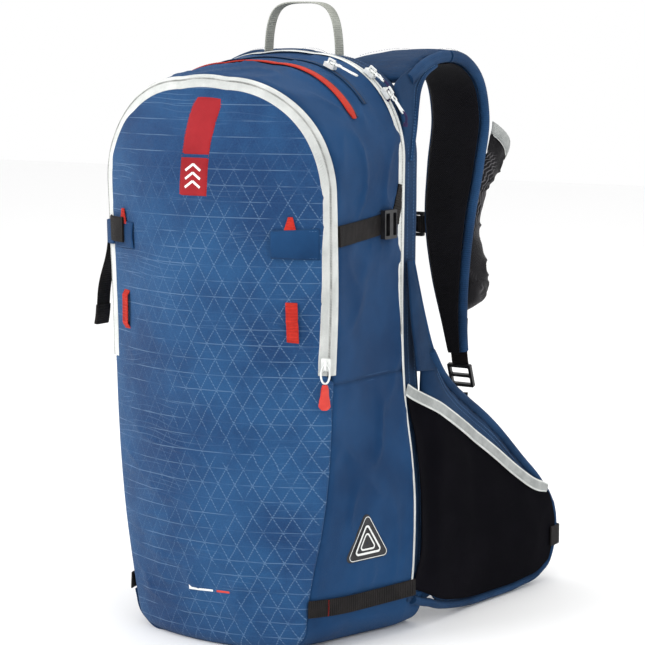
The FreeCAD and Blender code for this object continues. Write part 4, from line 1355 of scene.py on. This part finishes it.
def ring_section(points, halves, thick, power, count):
    """Closed rings round a pad: points (rows, 3) mid line, halves (rows, 3) half-width
    vectors, thick (rows, 3) half-thickness vectors; a higher power makes a squarer edge."""
    angle = np.arange(count) * 2 * math.pi / count
    c, s = np.cos(angle), np.sin(angle)
    a = np.sign(c) * np.abs(c) ** (2 / power)
    b = np.sign(s) * np.abs(s) ** (2 / 2.6)
    crown = 0.82 + 0.26 * (1 - a ** 2)
    return (points[:, None] + halves[:, None] * a[None, :, None]
            + thick[:, None] * (b * crown)[None, :, None])


PAD_END = ((0.97, 1.5), (0.88, 3.0), (0.6, 4.0))      # share of the last ring, distance past it


def closed_pad(name, grid):
    """A closed form from rings of points with rounded ends."""
    rows, count = grid.shape[:2]
    ends = []
    for ring, nxt in ((grid[0], grid[1]), (grid[-1], grid[-2])):
        middle = ring.mean(axis=0)
        push = middle - nxt.mean(axis=0)
        push = push / max(np.linalg.norm(push), 1e-9)
        ends.append([middle + (ring - middle) * share + push * reach for share, reach in PAD_END])
    full = np.concatenate([np.stack(ends[0][::-1]), grid, np.stack(ends[1])])
    rows = len(full)
    along, around = arc_lengths(full)
    faces = [list(f) for f in grid_faces(rows, count, closed=True, flip=True)]
    faces += [list(range(count)), list(range((rows - 1) * count, rows * count))[::-1]]
    return make_object(name, world(full).reshape(-1, 3), faces, weave_of(around, along).reshape(-1, 3))


# ---------------------------------------------------------------- yoke and shoulder straps
STRAP_LINE = np.array([(31, 548), (62, 562), (108, 571), (150, 566), (180, 546), (193, 508),
                       (181, 455), (165, 405), (155, 345), (155, 290), (160, 258)], float)
STRAP_RUN = np.concatenate([[0], np.cumsum(np.linalg.norm(np.diff(STRAP_LINE, axis=0), axis=1))])
STRAP_LENGTH = STRAP_RUN[-1]
YOKE_END = 90.0


def strap_at(run):
    """Centre and outward direction of the strap at a distance along it."""
    run = np.asarray(run, float)
    centre = smooth(run, STRAP_RUN, STRAP_LINE)
    step = smooth(run + 1, STRAP_RUN, STRAP_LINE) - smooth(run - 1, STRAP_RUN, STRAP_LINE)
    step = unit(step)
    points = np.stack([np.zeros_like(run), centre[..., 0], centre[..., 1]], axis=-1)
    outward = np.stack([np.zeros_like(run), -step[..., 1], step[..., 0]], axis=-1)
    return points, outward


def strap_edges(run):
    """Inner and outer edge of the strap, along X."""
    points, _ = strap_at(run)
    y, z = points[..., 1], points[..., 2]
    yoke = smooth(y, [30, 54, 62, 80, 105], [0.6, 0.6, 22, 38, 53])
    hanging = smooth(z, [258, 290, 340, 400, 440, 620], [95, 90, 77, 63, 57, 54])
    inner = np.where(run < STRAP_RUN[2], yoke, hanging)
    outer = smooth(run, [0, 75, 330, STRAP_LENGTH], [118, 115, 114, 110])
    return inner, outer


def strap_surface(run, across, lift=0.0, side=1):
    """Points on the strap: across is -1 at its inner and 1 at its outer edge, lift is from
    the middle of its thickness."""
    run, across, lift = np.broadcast_arrays(np.asarray(run, float), np.asarray(across, float),
                                            np.asarray(lift, float))
    points, outward = strap_at(run)
    inner, outer = strap_edges(run)
    place = points + outward * lift[..., None]
    place[..., 0] = lerp(inner, outer, (across + 1) / 2)
    return place * [side, 1, 1], outward


def strap_threads(p):
    """Cloth coordinates on a strap: across it and along its line."""
    dense = np.linspace(0, STRAP_LENGTH, 160)
    points, _ = strap_at(dense)
    gap = (p[:, 1:2] - points[None, :, 1]) ** 2 + (p[:, 2:3] - points[None, :, 2]) ** 2
    return p[:, 0], dense[np.argmin(gap, axis=1)]


def build_straps():
    """Yoke and shoulder straps: a pad with a mesh lining and bindings."""
    for label, start, end in (("yoke", 1.5, YOKE_END - 0.6), ("strap", YOKE_END + 0.6, STRAP_LENGTH - 2)):
        run = np.arange(start, end, 4.0)
        points, outward = strap_at(run)
        inner, outer = strap_edges(run)
        mid = points.copy()
        mid[:, 0] = (inner + outer) / 2
        half = np.stack([(outer - inner) / 2, 0 * run, 0 * run], axis=-1)
        slim = 5.2 * (1 - 0.35 * ease(run, STRAP_LENGTH - 60, STRAP_LENGTH))[:, None]
        grid = ring_section(mid, half, outward * slim, 9.0, 56)
        folds = 0.9 * creases(grid, 45, 5, (1.0, 1.0, 0.8)) * (label == "yoke")
        grid = raised(grid, -folds)
        for side, hand in SIDES:
            body = closed_pad("%s_pad_%s" % (label, hand), grid)
            if side < 0:
                reflect(body)
            puff(body, 5.0, 3.0, 2.2)
            rethread(body, strap_threads)
            nodes = on_right(side, "shoulder_yoke") if label == "yoke" else ("shoulder_strap_" + hand,)
            wear(body, HARNESS, "root", nodes)
            build_strap_lining(side, hand, label, start, end)


def reflect(piece):
    """Turns a piece over to the other side of the pack."""
    mesh = piece.data
    set_coordinates(mesh, coordinates(mesh) * np.array([-1, 1, 1], np.float32))
    mesh.flip_normals()
    mesh.update()


def build_strap_lining(side, hand, label, start, end):
    """Black mesh on the side of the strap that lies on the shoulder, and its bindings."""
    if label == "strap":
        run = np.linspace(start + 2, end - 1, 90)[:, None]
        across = np.linspace(-0.985, 0.9, 18)[None]
        bulge = -7.6 - 1.0 * (1 - across ** 4) + 1.8 * (np.abs(across) > 0.95)
        grid, _ = strap_surface(run, across, bulge + 0.4 * waves(strap_surface(run, across)[0], 60, 9), side)
        lining = cloth("strap_lining_" + hand, grid, weave_of(grid[..., 0], run + 0 * across), flip=side > 0)
        thicken(lining, 0.8)
        wear(lining, STRAP_MESH)
    run = np.arange(start, end, 5.0)
    parts = []
    for edge, size in ((1, 1.0), (-1, 0.75)):
        if label == "yoke" and edge < 0:
            run = run[run > STRAP_RUN[1] + 4]
        path, out = strap_surface(run, edge, 0.0, side)
        parts.append(sweep("edge", path, out, round_section(4.6 * size, 12, 1.35)))
        parts.append(join("rows", [stitch_row("row", strap_surface(run, edge * 0.86, 7.4, side)[0], out)]))
    wear(join("%s_binding_%s" % (label, hand), parts), BINDING)


# ---------------------------------------------------------------- flask pocket
POCKET_HEIGHTS = [297.5, 299, 303, 311, 327, 348, 385, 427, 443, 477, 512, 560]
POCKET_RADII = [3, 9, 17, 27, 32, 31, 24, 26, 29, 36, 38, 38]
POCKET_X, POCKET_SINK, POCKET_WAIST = 88.0, 10.0, 26.0
HEM_WIDTH = 12.0


def pocket_point(angle, z, lift=0.0):
    """Point of the bag: angle 0 points away from the strap."""
    radius = smooth(z, POCKET_HEIGHTS, POCKET_RADII)
    hanging = STRAP_LINE[5:][::-1]
    face = smooth(np.minimum(z, 505), hanging[:, 1], hanging[:, 0]) + 6.6
    sink = np.minimum(POCKET_SINK, radius)
    r = radius + lift
    narrow = np.where(angle < 0, 1 - 0.5 * ease(z, 420, 350), 1.0)
    return np.stack([POCKET_X + narrow * r * np.sin(angle), face + radius - sink + r * np.cos(angle),
                     z + 0 * angle], -1)


def mouth_height(angle):
    """Height of the bag's slanted rim."""
    z = np.full(np.shape(angle), 470.0)
    for _ in range(40):
        p = pocket_point(angle, z)
        z = z + 0.5 * (545 - 0.825 * (p[..., 1] - 150) - z)
    return z


def pocket_grid(low, high, rows, lift):
    """Grid of the bag between shares of its height; its sides end on the strap."""
    reach = math.pi - math.acos(1 - POCKET_SINK / POCKET_WAIST)
    angle = np.linspace(-reach, reach, 61)[None]
    top = mouth_height(angle)
    share = np.linspace(0, 1, rows)[:, None]
    z = lerp(low(top), high(top), share)
    return pocket_point(angle + 0 * z, z, lift), angle, z


def build_flask_pocket():
    """Mesh bag on the right strap, with a grey elastic hem."""
    grid, angle, z = pocket_grid(lambda top: 297.6 + 0 * top, lambda top: top - HEM_WIDTH + 2, 90, 0.0)
    sag = 2.6 * (creases(grid, 48, 31, (1, 1, 0.55)) - 0.3) * ease(z, 300, 330)
    waist = -2.2 * np.exp(-((z - 430) / 5) ** 2) + 1.6 * np.exp(-((z - 452) / 9) ** 2)
    pleats = 1.1 * np.sin(angle * 9 + 1.5 * waves(grid, 60, 3)) * ease(z, 440, 500)
    bag = cloth("flask_pocket_mesh", raised(grid, sag + waist + pleats))
    thicken(bag, 0.7)
    wear(bag, MOIRE, "root", ("flask_pocket",))
    hem, angle, _ = pocket_grid(lambda top: top - HEM_WIDTH, lambda top: top, 7, 0.5)
    gather = 0.5 * np.sin(angle * 34) + 0.8 * waves(hem, 40, 8)
    crown = 0.8 * np.sin(np.linspace(0, math.pi, 7))[:, None]
    along, around = arc_lengths(hem)
    band = cloth("flask_pocket_hem", raised(hem, gather * 0.4 + crown), weave_of(along, around))
    thicken(band, 1.6)
    wear(band, GREY_HEM)
    for name, rise in (("flask_hem_edge_low", -HEM_WIDTH), ("flask_hem_edge_high", 0.0)):
        line = pocket_grid(lambda top: top + rise, lambda top: top + rise, 2, 0.8)[0]
        edge = sweep(name, line[0], unit(line[0] - [POCKET_X, 215, 480]), round_section(0.8, 8))
        wear(edge, WHITE_TAPE)


# ---------------------------------------------------------------- hip wings
WING_MID, HINGE_Y, FLARE = 143.5, 107.0, math.radians(5)
WING_Y = [31, 48, 76, 104, 146, 205, 246, 264, 274]
WING_TOP = [283, 261, 238, 221, 194, 146, 111, 90, 66]
WING_LOW = [20, 14, 8, 4, 3, 4, 11, 24, 46]


def wing_top(y):
    return smooth(y, WING_Y, WING_TOP)


def wing_low(y):
    return smooth(y, WING_Y, WING_LOW)


def flare(points):
    """Turns the wing outward behind its hinge."""
    turned = np.array(points, float)
    turn = FLARE * ease(turned[..., 1], HINGE_Y - 12, HINGE_Y + 12)
    dx, dy = turned[..., 0] - WING_MID, turned[..., 1] - HINGE_Y
    turned[..., 0] = WING_MID + dx * np.cos(turn) + dy * np.sin(turn)
    turned[..., 1] = HINGE_Y + dy * np.cos(turn) - dx * np.sin(turn)
    return turned


def wing_blend(piece, side):
    """Mirrors a wing piece to its side and bakes its placement into its mesh."""
    if side < 0:
        reflect(piece)
    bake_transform(piece)


def hem_line(y):
    return smooth(y, [-6, 22, 83, 147, 191, 226, 250], [247, 231, 198, 160, 132, 113, 105])


def outer_x(y, z):
    """Outer face of the hip wing, running on to the pack's back edge."""
    edge = smooth(z, BACK_HEIGHTS, BACK_HALF_WIDTHS) + 1.4
    return lerp(edge, WING_MID + 6.6, ease(y, 2, 44))


def build_wings():
    for side, hand in SIDES:
        build_wing_core(side, hand)
        build_wing_pocket(side, hand)
        build_wing_trim(side, hand)


def build_wing_core(side, hand):
    """Padded wing with a sewn channel along its top edge."""
    y = np.linspace(24, 272, 64)
    top, low = wing_top(np.maximum(y, 31)), wing_low(np.maximum(y, 31))
    mid = np.stack([np.full_like(y, WING_MID), y, (top + low) / 2], axis=-1)
    mid[:, 0] -= 6 * (1 - ease(y, 22, 48))
    half = np.stack([0 * y, 0 * y, (top - low) / 2 - 1.5], axis=-1)
    slim = np.stack([np.full_like(y, 5.0), 0 * y, 0 * y], axis=-1)
    grid = ring_section(mid, half, slim, 14.0, 110)
    core = closed_pad("hip_wing_core_" + hand, grid)
    puff(core, 6.0, 3.0, 2.0)
    p = local(coordinates(core.data))
    groove = np.exp(-((wing_top(np.clip(p[:, 1], 31, 274)) - 17 - p[:, 2]) / 2.2) ** 2)
    p[:, 0] -= np.sign(p[:, 0] - WING_MID) * 1.4 * groove * (p[:, 1] > 40)
    set_coordinates(core.data, world(flare(p)))
    rethread(core, lambda q: (q[:, 1], q[:, 2]))
    roots = on_right(side, "hip_wing_roots")
    wear(core, HARNESS, None, ("hip_wing_" + hand,) + roots)
    wing_blend(core, side)


def build_wing_pocket(side, hand):
    """Stretch cloth over the wing, from the pack's back edge to the wing's tip."""
    y = np.concatenate([np.linspace(1.5, 240, 70), np.linspace(243, 268.5, 14)])[:, None]
    upper = np.where(y < 250, hem_line(np.minimum(y, 250)) - 3, 102 - 34 * ((y - 250) / 18.5) ** 2)
    lower = wing_low(np.clip(y, 31, 274)) + 9 + 14 * ease(y, 255, 270) + 12 * (1 - ease(y, 0, 40))
    share = np.linspace(0, 1, 46)[None]
    z = lower + (upper - lower) * share
    yy = y + 0 * share
    x = outer_x(yy, z)
    rim = np.minimum(np.minimum(share * (upper - lower), (1 - share) * (upper - lower)), 268.5 - yy)
    swell = 1.0 + 4.5 * ease(rim, 0, 45)
    soft_fold = 1.2 * waves(np.stack([x, yy, z], -1), 90, 19, (1, 0.8, 2.2)) * ease(rim, 0, 25)
    hollow = 5.0 * np.exp(-((yy - 20) / 13) ** 2) * ease(rim, 0, 30)
    grid = flare(np.stack([x + swell + soft_fold - hollow, yy, z], axis=-1))
    pocket = cloth("hip_pocket_cloth_" + hand, grid, weave_of(yy, z), flip=True)
    thicken(pocket, 0.9)
    wear(pocket, STRETCH, None, ("hip_pocket_" + hand,))
    wing_blend(pocket, side)


def build_wing_trim(side, hand):
    """The pocket's grey hem, the wing's binding and its stitches."""
    y = np.linspace(-1.5, 249, 84)
    z = hem_line(y)
    path = np.stack([outer_x(y, z) + 1.6, y, z], axis=-1)
    width = 1 - 0.25 * ease(y, 236, 249)
    hem = sweep("hip_hem_" + hand, flare(path), (1, 0.02, 0), flat_section(9.0, 2.2), width)
    wear(hem, GREY_HEM, None)
    wing_blend(hem, side)
    edges = []
    for offset in (-4.9, 4.9):
        aside = np.stack([0 * y, 0.45 * offset * width, 0.9 * offset * width], -1)
        line = path + np.array([0.9, 0, 0]) + aside
        edges.append(sweep("edge", flare(line), (1, 0, 0), round_section(1.15, 8)))
    piping = join("hip_hem_piping_" + hand, edges)
    wear(piping, WHITE_TAPE, None)
    wing_blend(piping, side)
    top_y = np.linspace(33, 262, 60)
    low_y = np.linspace(266, 30, 60)
    ring_y = np.concatenate([top_y, [268, 272, 273.5, 272], low_y, [20, 9]])
    ring_z = np.concatenate([wing_top(top_y) - 1, [84, 72, 58, 44], wing_low(low_y) + 2.5, [25, 29]])
    line = np.stack([WING_MID - 6 * (1 - ease(ring_y, 2, 40)), ring_y, ring_z], axis=-1)
    bind = sweep("hip_binding_" + hand, flare(line), (1, 0, 0), round_section(4.4, 12, 1.45))
    wear(bind, BINDING, None)
    wing_blend(bind, side)
    rows = []
    for drop in (15.0, 19.5):
        y = np.linspace(36, 248, 70)
        line = np.stack([np.full_like(y, WING_MID + 6.2), y, wing_top(y) - drop], axis=-1)
        rows.append(stitch_row("row", flare(line), (1, 0, 0), lift=0.3))
    stitches = join("hip_stitches_" + hand, rows)
    wear(stitches, THREAD, None)
    wing_blend(stitches, side)


# ---------------------------------------------------------------- webbings of the harness
STERNUM_Z = 393.0


def build_ladder_webbing():
    """Webbing from the hip to the ladder lock, and from the shoulder strap into it."""
    turn = math.radians(22)
    line = np.array([(160, 217), (146, 202), (124, 196), (100, 206)], float)
    run = np.linspace(0, 3, 26)
    centre = smooth(run, np.arange(4), line)
    dx = -(centre[:, 0] - 160) * math.sin(turn)
    y = 160 + (centre[:, 0] - 160) * math.cos(turn)
    path = np.stack([104 + dx, y, centre[:, 1]], axis=-1)
    across = np.array([math.cos(turn), math.sin(turn), 0])
    along = unit(np.gradient(path, axis=0))
    out = np.cross(across, along)
    section = flat_section(WEBBING_WIDTH, 1.5)
    for side, hand in SIDES:
        flip = np.array([side, 1, 1])
        band = sweep("lower_harness_webbing_" + hand, path * flip, out * flip, section)
        wear(band, BLACK_WEBBING, "root", on_right(side, "strap_webbings"))
        run = np.linspace(STRAP_LENGTH - 38, STRAP_LENGTH, 16)
        points, outward = strap_at(run)
        points[:, 0] = 103.0
        points = points + outward * np.linspace(7.5, 1.5, 16)[:, None]
        tail = np.array([[103.5, 162.5, 250.0], [104, 163.5, 244.0]])
        points = np.concatenate([points, tail])
        outward = np.concatenate([outward, np.array([[0, 1, 0.1], [0, 1, 0.3]])])
        end = sweep("strap_end_webbing_" + hand, points * flip, outward * flip, section)
        wear(end, BLACK_WEBBING)


def build_sternum_webbing():
    """Webbings of the sternum strap and their ends threaded through the clips."""
    z, y = STERNUM_Z, 161.6
    x = np.linspace(46, 13, 14)
    bow = 0.8 * np.sin(np.linspace(0, math.pi, 14))
    path = np.stack([x, y + bow, z + 0 * x], axis=-1)
    inner = np.linspace(61, 39, 16)
    rise = 3.4 * np.exp(-((inner - 47) / 4.5) ** 2)
    threaded = np.stack([inner, y + 0.3 + rise, z + 0 * inner], axis=-1)
    loops = [sweep("loop", threaded * [side, 1, 1], (0, 1, 0), flat_section(18, 1.2, -0.6, 6))
             for side, _ in SIDES]
    wear(join("sternum_clip_webbings", loops), BLACK_WEBBING, "sternum_strap")
    right = sweep("sternum_strap_right", path, (0, 1, 0), flat_section(19, 1.4, -0.7, 6))
    wear(right, BLACK_WEBBING, "sternum_strap", ("sternum_webbing_right",))
    path = np.stack([-np.linspace(46, 19, 14), y + bow, z + 0 * x], axis=-1)
    left = sweep("sternum_strap_left", path, (0, 1, 0), flat_section(19, 1.4, -0.7, 6))
    wear(left, BLACK_WEBBING, None, ("sternum_webbing_left",))
    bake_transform(left)


def build_hip_webbing():
    """Short webbing from each wing's tip round into its buckle."""
    for side, hand in SIDES:
        x = np.concatenate([np.linspace(104, 138, 14), [145, 151, 154, 155, 155.5]])
        y = np.concatenate([np.full(14, 278.0), [277.5, 275, 271, 265, 256]])
        path = flare(np.stack([x, y, np.full_like(x, 50.0)], axis=-1))
        path[:, 0] = np.minimum(path[:, 0], 166)
        tip = [[0.3, 0.9, 0], [0.6, 0.7, 0], [0.9, 0.3, 0], [1, 0.1, 0], [1, 0.1, 0]]
        out = np.concatenate([np.tile([0, 1, 0], (14, 1)), tip])
        flip = np.array([side, 1, 1])
        band = sweep("hip_strap_" + hand, path * flip, out * flip, flat_section(22, 1.6))
        wear(band, BLACK_WEBBING, "wing_" + hand, ("hip_webbing_" + hand,))


HAUL_FOOT = 568


def build_haul_loop():
    """Grey grab loop that bends at its foot."""
    low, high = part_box("haul_loop")
    span = (high.x - low.x) / 2 / MM
    top = high.z / MM
    y = local(np.array([[0, (low.y + high.y) / 2, 0]]))[0, 1]
    t = np.linspace(-1, 1, 60)
    z = HAUL_FOOT + (top - 0.8 - HAUL_FOOT) * (1 - np.abs(t) ** 3.2)
    x = np.sign(t) * (span - 1) * (1 - (1 - np.abs(t)) ** 1.9) * (1 + 0.03 * np.abs(t))
    path = np.stack([x, y + 1.5 * np.sin(t * 2), z], axis=-1)
    out = unit(path - [0, y, 585])
    band = sweep("haul_loop_webbing", path, out, flat_section(15.5, 1.8))
    wear(band, GREY_WEBBING, None, ("haul_loop",))
    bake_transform(band)


build_straps()
build_flask_pocket()
build_wings()
build_ladder_webbing()
build_sternum_webbing()
build_hip_webbing()
build_haul_loop()


# ---------------------------------------------------------------- joins to the pack
WEB_ROWS = 9


def web(name, seam, edge, bow):
    """Double cloth stretched between a seam line and a free edge, both lists of points;
    its free edge is bound."""
    for side, hand in SIDES:
        run = np.linspace(0, 1, 40)
        stations = [np.linspace(0, 1, len(line)) for line in (seam, edge)]
        low, high = (smooth(run, s, np.array(line, float)) for s, line in zip(stations, (seam, edge)))
        share = np.linspace(0, 1, WEB_ROWS)[:, None, None]
        grid = low[None] * (1 - share) + high[None] * share
        belly = np.sin(share[..., 0] * math.pi)
        grid[..., 0] += bow * belly
        grid[..., 0] += 0.8 * waves(grid, 38, 71) * belly
        grid = grid * [side, 1, 1]
        sheet = cloth("%s_web_%s" % (name, hand), grid, flip=side > 0)
        thicken(sheet, 2.4)
        wear(sheet, HARNESS)
        out = np.array([side, 0.0, 0.0])
        tube = sweep("edge", grid[-1], out, round_section(2.6, 10, 1.3))
        wear(join("%s_web_binding_%s" % (name, hand), [tube]), BINDING)
        rows = [stitch_row("row", line + out * 1.6, out) for line in grid[-3:-1]]
        wear(join("%s_web_stitches_%s" % (name, hand), rows), THREAD)


def build_joins():
    """Cloth webs from the back panel to the yoke and to the wings."""
    yoke_seam = [(130, 5, 470), (128, 5, 500), (123, 5, 528), (117, 8, 545), (116, 40, 560), (116, 72, 566)]
    yoke_edge = [(131, 13, 470), (130, 22, 500), (127, 31, 524), (122, 44, 540), (118, 62, 553),
                 (117, 84, 562)]
    web("yoke", yoke_seam, yoke_edge, 1.5)
    wing_seam = [(133, 4, 372), (135, 4, 345), (138, 4, 310), (141, 5, 285), (142, 8, 262)]
    wing_edge = [(134, 12, 372), (136.5, 18, 345), (139.5, 25, 315), (142, 36, 283), (143.5, 52, 258)]
    web("wing", wing_seam, wing_edge, 1.0)


# ---------------------------------------------------------------- back pads
def build_back_pads():
    """Four pads on the side of the back panel that lies on the wearer."""
    inner, corner = 9.0, 16.0
    for label, low, high, half in (("lower", 60, 250, 106), ("upper", 300, 500, 90)):
        for side, hand in SIDES:
            z = np.linspace(low + 4, high - 4, 46)
            end = np.minimum(z - low, high - z)
            trim = corner * (1 - np.sqrt(np.clip(1 - (1 - np.clip(end / corner, 0, 1)) ** 2, 0, 1)))
            wide = np.minimum(half, 108 - 14 * ease(z, 240, 310) + 3) - inner
            mid = np.stack([np.full_like(z, inner) + wide / 2, np.full_like(z, 34.4), z], axis=-1)
            span = np.stack([wide / 2 - trim * 0.8, 0 * z, 0 * z], axis=-1)
            slim = np.stack([0 * z, 0 * z + 3.4, 0 * z], axis=-1)
            pad = closed_pad("back_pad_%s_%s" % (label, hand), ring_section(mid, span, slim, 8.0, 56))
            if side < 0:
                reflect(pad)
            puff(pad, 5.0, 3.5, 3.0)
            rethread(pad, lambda q: (q[:, 0], q[:, 2]))
            nodes = on_right(side, "back_pads") if label == "lower" else ()
            wear(pad, PAD_MESH, "root", nodes)


# ---------------------------------------------------------------- small hardware
SLOT_LOOKS = {"main_fabric": PLAIN, "front_fabric": FRONT, "lining": LINING, "white_zip": WHITE_TAPE,
              "red_trim": RED_TAPE, "stripe": STRIPE, "webbing_black": BLACK_WEBBING,
              "webbing_grey": GREY_WEBBING, "stretch_black": STRETCH, "mesh_black": STRAP_MESH,
              "grey_elastic": GREY_HEM, "foam_cloth": PAD_MESH, "black_plastic": BLACK_PLASTIC,
              "white_metal": WHITE_METAL, "red_rubber": RED_RUBBER, "patch_rubber": PATCH_RUBBER,
              "frame_plastic": FRAME_PLASTIC}


def dress_cad_nodes():
    """Gives the rigid parts that stay as built the material of their slot."""
    for subpart in frame["record"]["subparts"]:
        node = frame["nodes"].get(subpart["node"])
        if node is not None:
            node.data.materials.clear()
            node.data.materials.append(SLOT_LOOKS[subpart["material_slot"]])


def pull_axes(name, slider):
    """Head, direction, width direction, normal and length of a pull, from its own mesh."""
    points = local(coordinates(frame["nodes"][name].data))
    middle = (points.max(axis=0) + points.min(axis=0)) / 2
    along, across, normal = np.linalg.svd(points - points.mean(axis=0), full_matrices=False)[2]
    reach = (points - middle) @ along
    ends = [middle + along * reach.min(), middle + along * reach.max()]
    low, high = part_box(slider)
    centre = local(np.array([list((low + high) / 2)]))[0]
    if np.linalg.norm(ends[1] - centre) < np.linalg.norm(ends[0] - centre):
        ends.reverse()
    length = np.linalg.norm(ends[1] - ends[0])
    return ends[0], (ends[1] - ends[0]) / length, across, normal, length


def ring_path(centre, along, across, long, wide, count=28):
    """Closed oval path."""
    angle = np.arange(count) * 2 * math.pi / count
    return centre + np.outer(np.cos(angle) * long, along) + np.outer(np.sin(angle) * wide, across)


def build_pulls():
    """Cast pulls: a loop round the slider's bridge and a tapered bar with an eye."""
    for name in ("goggle_pull", "main_pull_upper", "main_pull_lower"):
        slider = name.replace("pull", "slider")
        head, along, across, normal, length = pull_axes(name, slider)
        loop = ring_path(head + along * 3.6, along, across, 3.3, 2.7)
        eye = ring_path(head + along * 9.6, along, across, 2.9, 2.9)
        parts = [sweep("loop", loop, normal, round_section(0.85, 8), closed=True),
                 sweep("eye", eye, normal, round_section(1.0, 8), closed=True)]
        t = np.linspace(0, 1, 18)
        bar = head + along * (11.8 + (length - 12.4) * t)[:, None]
        width = smooth(t, [0, 0.12, 0.5, 0.9, 1], [0.55, 0.8, 0.92, 1.0, 0.7])
        parts.append(sweep("bar", bar - normal * 0.8, normal, flat_section(5.6, 1.5, across=6), width))
        wear(join(name + "_cast", parts), WHITE_METAL, name, (name,))
    head, along, across, normal, _ = pull_axes("front_pull", "front_slider")
    loop = ring_path(head + along * 9.5, along, across, 9.0, 4.2, 36)
    cast = sweep("front_pull_cast", loop, normal, round_section(1.0, 10), closed=True)
    wear(cast, WHITE_METAL, "front_pull", ("front_pull",))
    head, along, _, normal, length = pull_axes("front_pull_grip", "front_slider")
    t = np.linspace(0, 1, 22)
    spine = head + along * (1 + (length - 2) * t)[:, None]
    width = smooth(t, [0, 0.15, 0.4, 0.7, 0.92, 1], [0.5, 0.72, 0.8, 1.06, 1.0, 0.6])
    facet = np.array([(-5, 0), (-3, 2.1), (3, 2.1), (5, 0), (3, -2.1), (-3, -2.1)])
    grip = sweep("front_pull_grip_moulded", spine, normal, facet, width)
    bend_edges(grip, 25)
    wear(grip, RED_RUBBER, "front_pull", ("front_pull_grip",))


def build_pull_cords():
    """Dark cord loops on the pulls of the main zip, knotted at their ends."""
    for name, drop in (("main_pull_upper", 24), ("main_pull_lower", 15)):
        head, along, _, normal, length = pull_axes(name, name.replace("pull", "slider"))
        outward = normal * np.sign(normal[0])
        t = np.linspace(0, 1, 24)[:, None]
        fall = lerp(along, np.array([0.12, 0.0, -1.0]), t)
        path = head + along * (length - 3) + fall * drop * t + outward * (1.6 * np.sin(t * math.pi) + 1.5 * t)
        cord = sweep("cord", path, (0, 1, 0), round_section(1.25, 8))
        knot = sweep("knot", path[-5:], (0, 1, 0), round_section(2.4, 10))
        wear(join(name + "_loop", [cord, knot]), CORD, name)


build_joins()
build_back_pads()
dress_cad_nodes()
build_pulls()
build_pull_cords()


# ---------------------------------------------------------------- floor, lights and end
def build_stage():
    """Pale floor, white surroundings and three soft lights."""
    floor = make_object("floor", [(-6, -6, 0), (6, -6, 0), (6, 6, 0), (-6, 6, 0)], [[0, 1, 2, 3]])
    shader = Shader("pale_floor", Roughness=0.9, Specular_IOR_Level=0.1)
    shader.colour(linear(250, 250, 250))
    floor.data.materials.append(shader.material)
    scene_world = bpy.data.worlds.new("studio")
    scene_world.use_nodes = True
    background = scene_world.node_tree.nodes["Background"]
    background.inputs["Color"].default_value = (1, 1, 1, 1)
    background.inputs["Strength"].default_value = 1.0
    bpy.context.scene.world = scene_world
    lamps = (("key", (-1.4, -2.3, 2.2), 1.5, 46), ("fill", (2.6, -1.3, 1.3), 2.0, 12),
             ("top", (0.2, 0.4, 2.8), 1.6, 20))
    for name, place, size, power in lamps:
        data = bpy.data.lights.new(name, "AREA")
        data.size = size
        data.energy = power
        lamp = bpy.data.objects.new(name, data)
        bpy.context.scene.collection.objects.link(lamp)
        lamp.location = place
        lamp.rotation_euler = (Vector((0, 0, 0.3)) - Vector(place)).to_track_quat("-Z", "Y").to_euler()


build_stage()
bpy.context.scene.view_settings.view_transform = "Standard"
